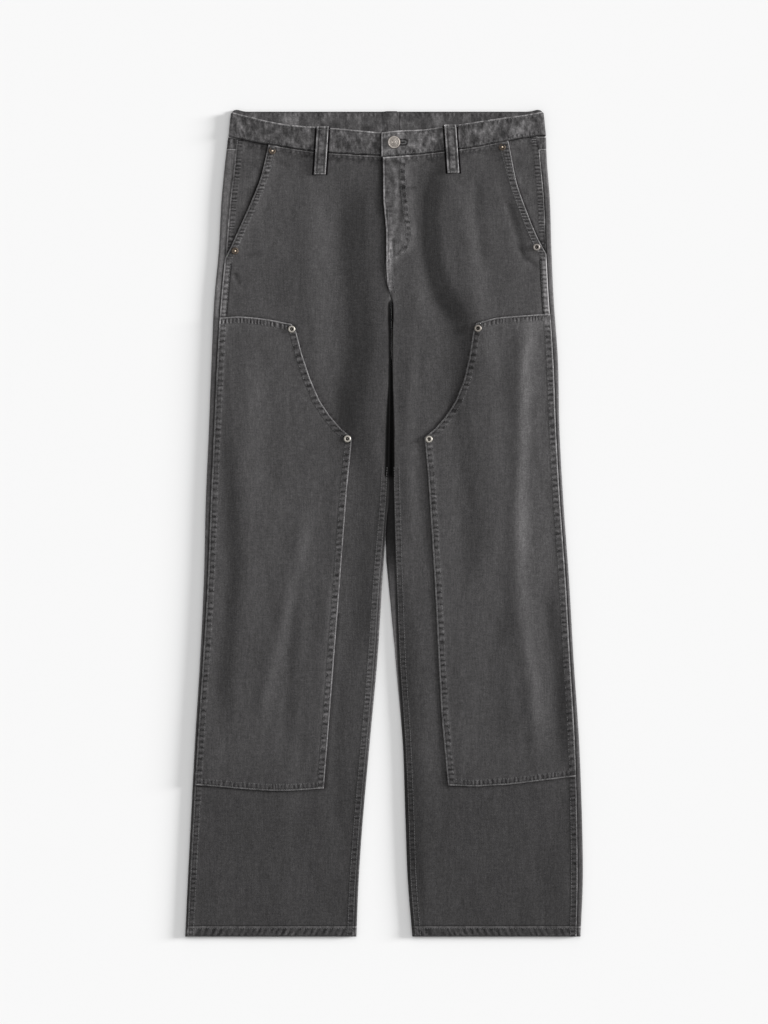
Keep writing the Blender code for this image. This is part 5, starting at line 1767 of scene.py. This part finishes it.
def leg_rows(side):
    """Stitches of the inseam, side seam, pocket mouth and hem."""
    legs = np.arange(HEM_LEVEL + 1.0, INSEAM_SHOWS, 6.0)
    sides = np.arange(HEM_LEVEL + 1.0, mouth_bottom(side), 6.0)
    mouth = np.arange(mouth_bottom(side) + 6.0, 488.0, 4.0)
    rows = []
    for inset in TWIN_ROWS:
        rows.append(sewn_row(side, front_inner(side, legs) + inset, legs))
        for part in (sides[sides > 276.0], sides[sides < -352.0]):
            rows.append(sewn_row(side, side_seam_out(side, part) - inset, part))
        rows.append(sewn_row(side, front_outer(side, mouth) - inset * 1.1, mouth))
    hem = np.array(HEM_LEVEL)
    outs = np.arange(float(front_inner(side, hem)) + 2.0, float(side_seam_out(side, hem)) - 1.0, 5.0)
    rows.append(sewn_row(side, outs, np.full_like(outs, HEM_LEVEL + HEM_DEPTH - 2.0)))
    return rows


def knee_rows(side):
    """Stitches all round the knee panel, on its own upper face."""
    lift = CLOTH + LAYER_GAP + 0.35
    sides = np.arange(HEM_LEVEL + 1.0, mouth_bottom(side), 6.0)
    sides = sides[(sides > -330.0) & (sides < 266.0)]
    rows = []
    for inset in TWIN_ROWS:
        rows.append(sewn_row(side, side_seam_out(side, sides) - 0.4 - inset, sides, lift))
        inner = np.arange(KNEE_LOW_ROW + inset, KNEE_TOP - inset, 3.0)
        slope = (knee_edge(side, inner + 4.0) - knee_edge(side, inner - 4.0)) / 8.0
        outs = knee_edge(side, inner) + inset * np.sqrt(1.0 + slope ** 2)
        rows.append(sewn_row(side, outs, inner, lift))
        for column, way, edge_level in (("top", -1.0, 258.0), ("bottom", 1.0, KNEE_LOW_ROW)):
            start = float(knee_edge(side, edge_level)) + inset + 1.0
            stop = float(side_seam_out(side, np.array(edge_level))) - 1.5
            outs = np.arange(start, stop, 4.0)
            rows.append(sewn_row(side, outs, knee_end(side, column, outs) + way * inset, lift))
    return rows


def band_rows(side):
    """Stitches along both long edges of the waistband's front."""
    start = 5.0 if side == "right" else -1.5
    stop = float(leg(side, np.array(BAND_SIDE_LEVEL), "outer")) - 7.0
    outs = np.arange(start, stop, 3.0)
    path = band_path(side)
    front = path[path[:, 2] == 1.0]
    front = front[np.argsort(front[:, 0])]

    def height_of(x, level):
        return np.interp(x * sign_of(side), front[:, 0], front[:, 1]) + 0.25

    rows = []
    for column, shift in (("top", -2.4), ("bottom", 2.4)):
        points = list(zip(sign_of(side) * outs, band_edge(side, outs, column) + shift))
        rows.append(stitches_along(points, STITCH_PITCH, STITCH_LENGTH, THREAD, height_of))
    return rows


def build_stitches():
    for side in ("right", "left"):
        sew("seam_thread_" + side, leg_rows(side))
        sew("knee_thread_" + side, knee_rows(side))
        sew("band_thread_" + side, band_rows(side))
    curved = np.arange(346.0, 476.0, 3.0)
    curve = smooth(FLY, "level", "stitch", curved)
    below = np.arange(300.0, 345.0, 3.0)
    fly = [sewn_row("left", curve - inset, curved) for inset in (0.0, 6.0)]
    fly += [sewn_row("left", fly_edge(below) + inset, below) for inset in (1.8, 8.0)]
    sew("fly_thread", fly)


def build_tacks():
    """Bar tacks: close zigzag stitches at the belt loops and the fly."""
    rows = []

    def tack(x, level, width, height, lift_of, along_x=True):
        count = int(width / 0.5)
        for i in range(count):
            shift = (i + 0.5) / count * width - width / 2
            lean = 0.25 if i % 2 else -0.25
            if along_x:
                path = [(x + shift - lean, level - height / 2), (x + shift + lean, level + height / 2)]
            else:
                path = [(x - height / 2, level + shift - lean), (x + height / 2, level + shift + lean)]
            rows.append(stitches_along(path, height, height * 0.95, 0.5, lift_of))

    def loop_top(spot, extra):
        place = loop_place(spot)

        def lift_of(x, level):
            v = (level - spot.bottom_level) / (spot.top_level + 0.8 - spot.bottom_level)
            centre = mix(spot.bottom_out, spot.top_out, v)
            share = (x * sign_of(spot.side) - centre) / LOOP_WIDTH + 0.5
            u = share if spot.side == "left" else 1.0 - share
            return place(np.clip(u, 0, 1), np.clip(v, 0, 1))[2] + extra
        return lift_of

    for spot in BELT_LOOPS:
        ends = ((spot.bottom_level + 3.0, spot.bottom_out), (spot.top_level - 3.5, spot.top_out))
        for level, out in ends:
            tack(sign_of(spot.side) * out, level, 12.0, 2.0, loop_top(spot, 0.1))
    tack(float(fly_edge(404.0)) + 4.5, 404.0, 11.0, 2.0, on_front("left", 0.3), along_x=False)
    tack(float(fly_edge(345.0)) + 6.5, 352.0, 12.0, 2.0, on_front("left", 0.3), along_x=False)
    sew("tack_thread", rows)


def build_buttonhole():
    """Keyhole buttonhole whose end shows beside the button, worked in close stitches."""
    rows = []
    level = BUTTON.level
    half = 2.1

    def height_of(x, level_at):
        return np.full_like(np.asarray(x, float), BAND_END_HEIGHT + 0.75)

    count = 22
    for i in range(count):
        x = mix(SLIT_START, SLIT_END, i / (count - 1))
        for way in (-1.0, 1.0):
            path = [(x, level + way * 0.8), (x + 0.1, level + way * half)]
            rows.append(stitches_along(path, 1.4, 1.5, 0.5, height_of))
    for i in range(11):
        angle = math.radians(-90.0 + 18.0 * i)
        near = (SLIT_END + 0.8 * math.cos(angle), level + 0.8 * math.sin(angle))
        far = (SLIT_END + half * math.cos(angle), level + half * math.sin(angle))
        rows.append(stitches_along([near, far], 1.4, 1.5, 0.5, height_of))
    sew("buttonhole_thread", rows)


# Floor, light and camera

PHOTO_HEIGHT = 1024
MM_PER_PIXEL = 1.306
MIDDLE_ROW = 523.5
CAMERA_DISTANCE = 5.0
SENSOR_WIDTH = 36.0
FLOOR_SIZE = 4.0
FLOOR_HEIGHT = -0.0002
FLOOR_GREY = 0.868
SKY_STRENGTH = 0.585


def build_studio():
    scene = bpy.context.scene
    bm = bmesh.new()
    bmesh.ops.create_grid(bm, x_segments=1, y_segments=1, size=FLOOR_SIZE)
    mesh = finish_mesh("floor", bm)
    mesh.transform(Matrix.Translation((0, 0, FLOOR_HEIGHT)))
    floor = bpy.data.objects.new("floor", mesh)
    scene.collection.objects.link(floor)
    material = bpy.data.materials.new("pale floor")
    material.use_nodes = True
    shader = material.node_tree.nodes["Principled BSDF"]
    shader.inputs["Base Color"].default_value = grey(FLOOR_GREY)
    shader.inputs["Roughness"].default_value = 0.95
    shader.inputs["Specular IOR Level"].default_value = 0.0
    mesh.materials.append(material)

    def soft_sun(name, azimuth, elevation, spread, strength):
        light = bpy.data.lights.new(name, "SUN")
        light.energy = strength
        light.angle = math.radians(spread)
        holder = bpy.data.objects.new(name, light)
        turn, rise = math.radians(azimuth), math.radians(elevation)
        flat = math.cos(rise)
        towards = Vector((math.cos(turn) * flat, math.sin(turn) * flat, math.sin(rise)))
        holder.rotation_euler = towards.to_track_quat("Z", "Y").to_euler()
        scene.collection.objects.link(holder)

    soft_sun("key", azimuth=9.0, elevation=11.5, spread=13.5, strength=6.3)
    soft_sun("top", azimuth=70.0, elevation=55.0, spread=40.0, strength=0.4)
    world = bpy.data.worlds.new("studio")
    scene.world = world
    world.use_nodes = True
    background = world.node_tree.nodes["Background"]
    background.inputs["Color"].default_value = (1, 1, 1, 1)
    background.inputs["Strength"].default_value = SKY_STRENGTH
    camera = bpy.data.cameras.new("camera")
    frame_height = PHOTO_HEIGHT * MM_PER_PIXEL * MM
    camera.sensor_width = SENSOR_WIDTH
    camera.lens = camera.sensor_width * CAMERA_DISTANCE / frame_height
    camera.clip_end = 50.0
    holder = bpy.data.objects.new("camera", camera)
    holder.location = (0.0, (MIDDLE_ROW - PHOTO_HEIGHT / 2) * MM_PER_PIXEL * MM, CAMERA_DISTANCE)
    scene.collection.objects.link(holder)
    scene.camera = holder
    scene.view_settings.view_transform = "Standard"


def finish_hidden_nodes():
    """The fly facing keeps its form and takes the cloth's finish."""
    node = bpy.data.objects["fly_facing"]
    node.data.materials.clear()
    node.data.materials.append(bpy.data.materials["facing canvas"])


build_studio()
build_materials()
build_cloth()
build_rivets()
build_button()
build_stitches()
build_tacks()
build_buttonhole()
finish_hidden_nodes()
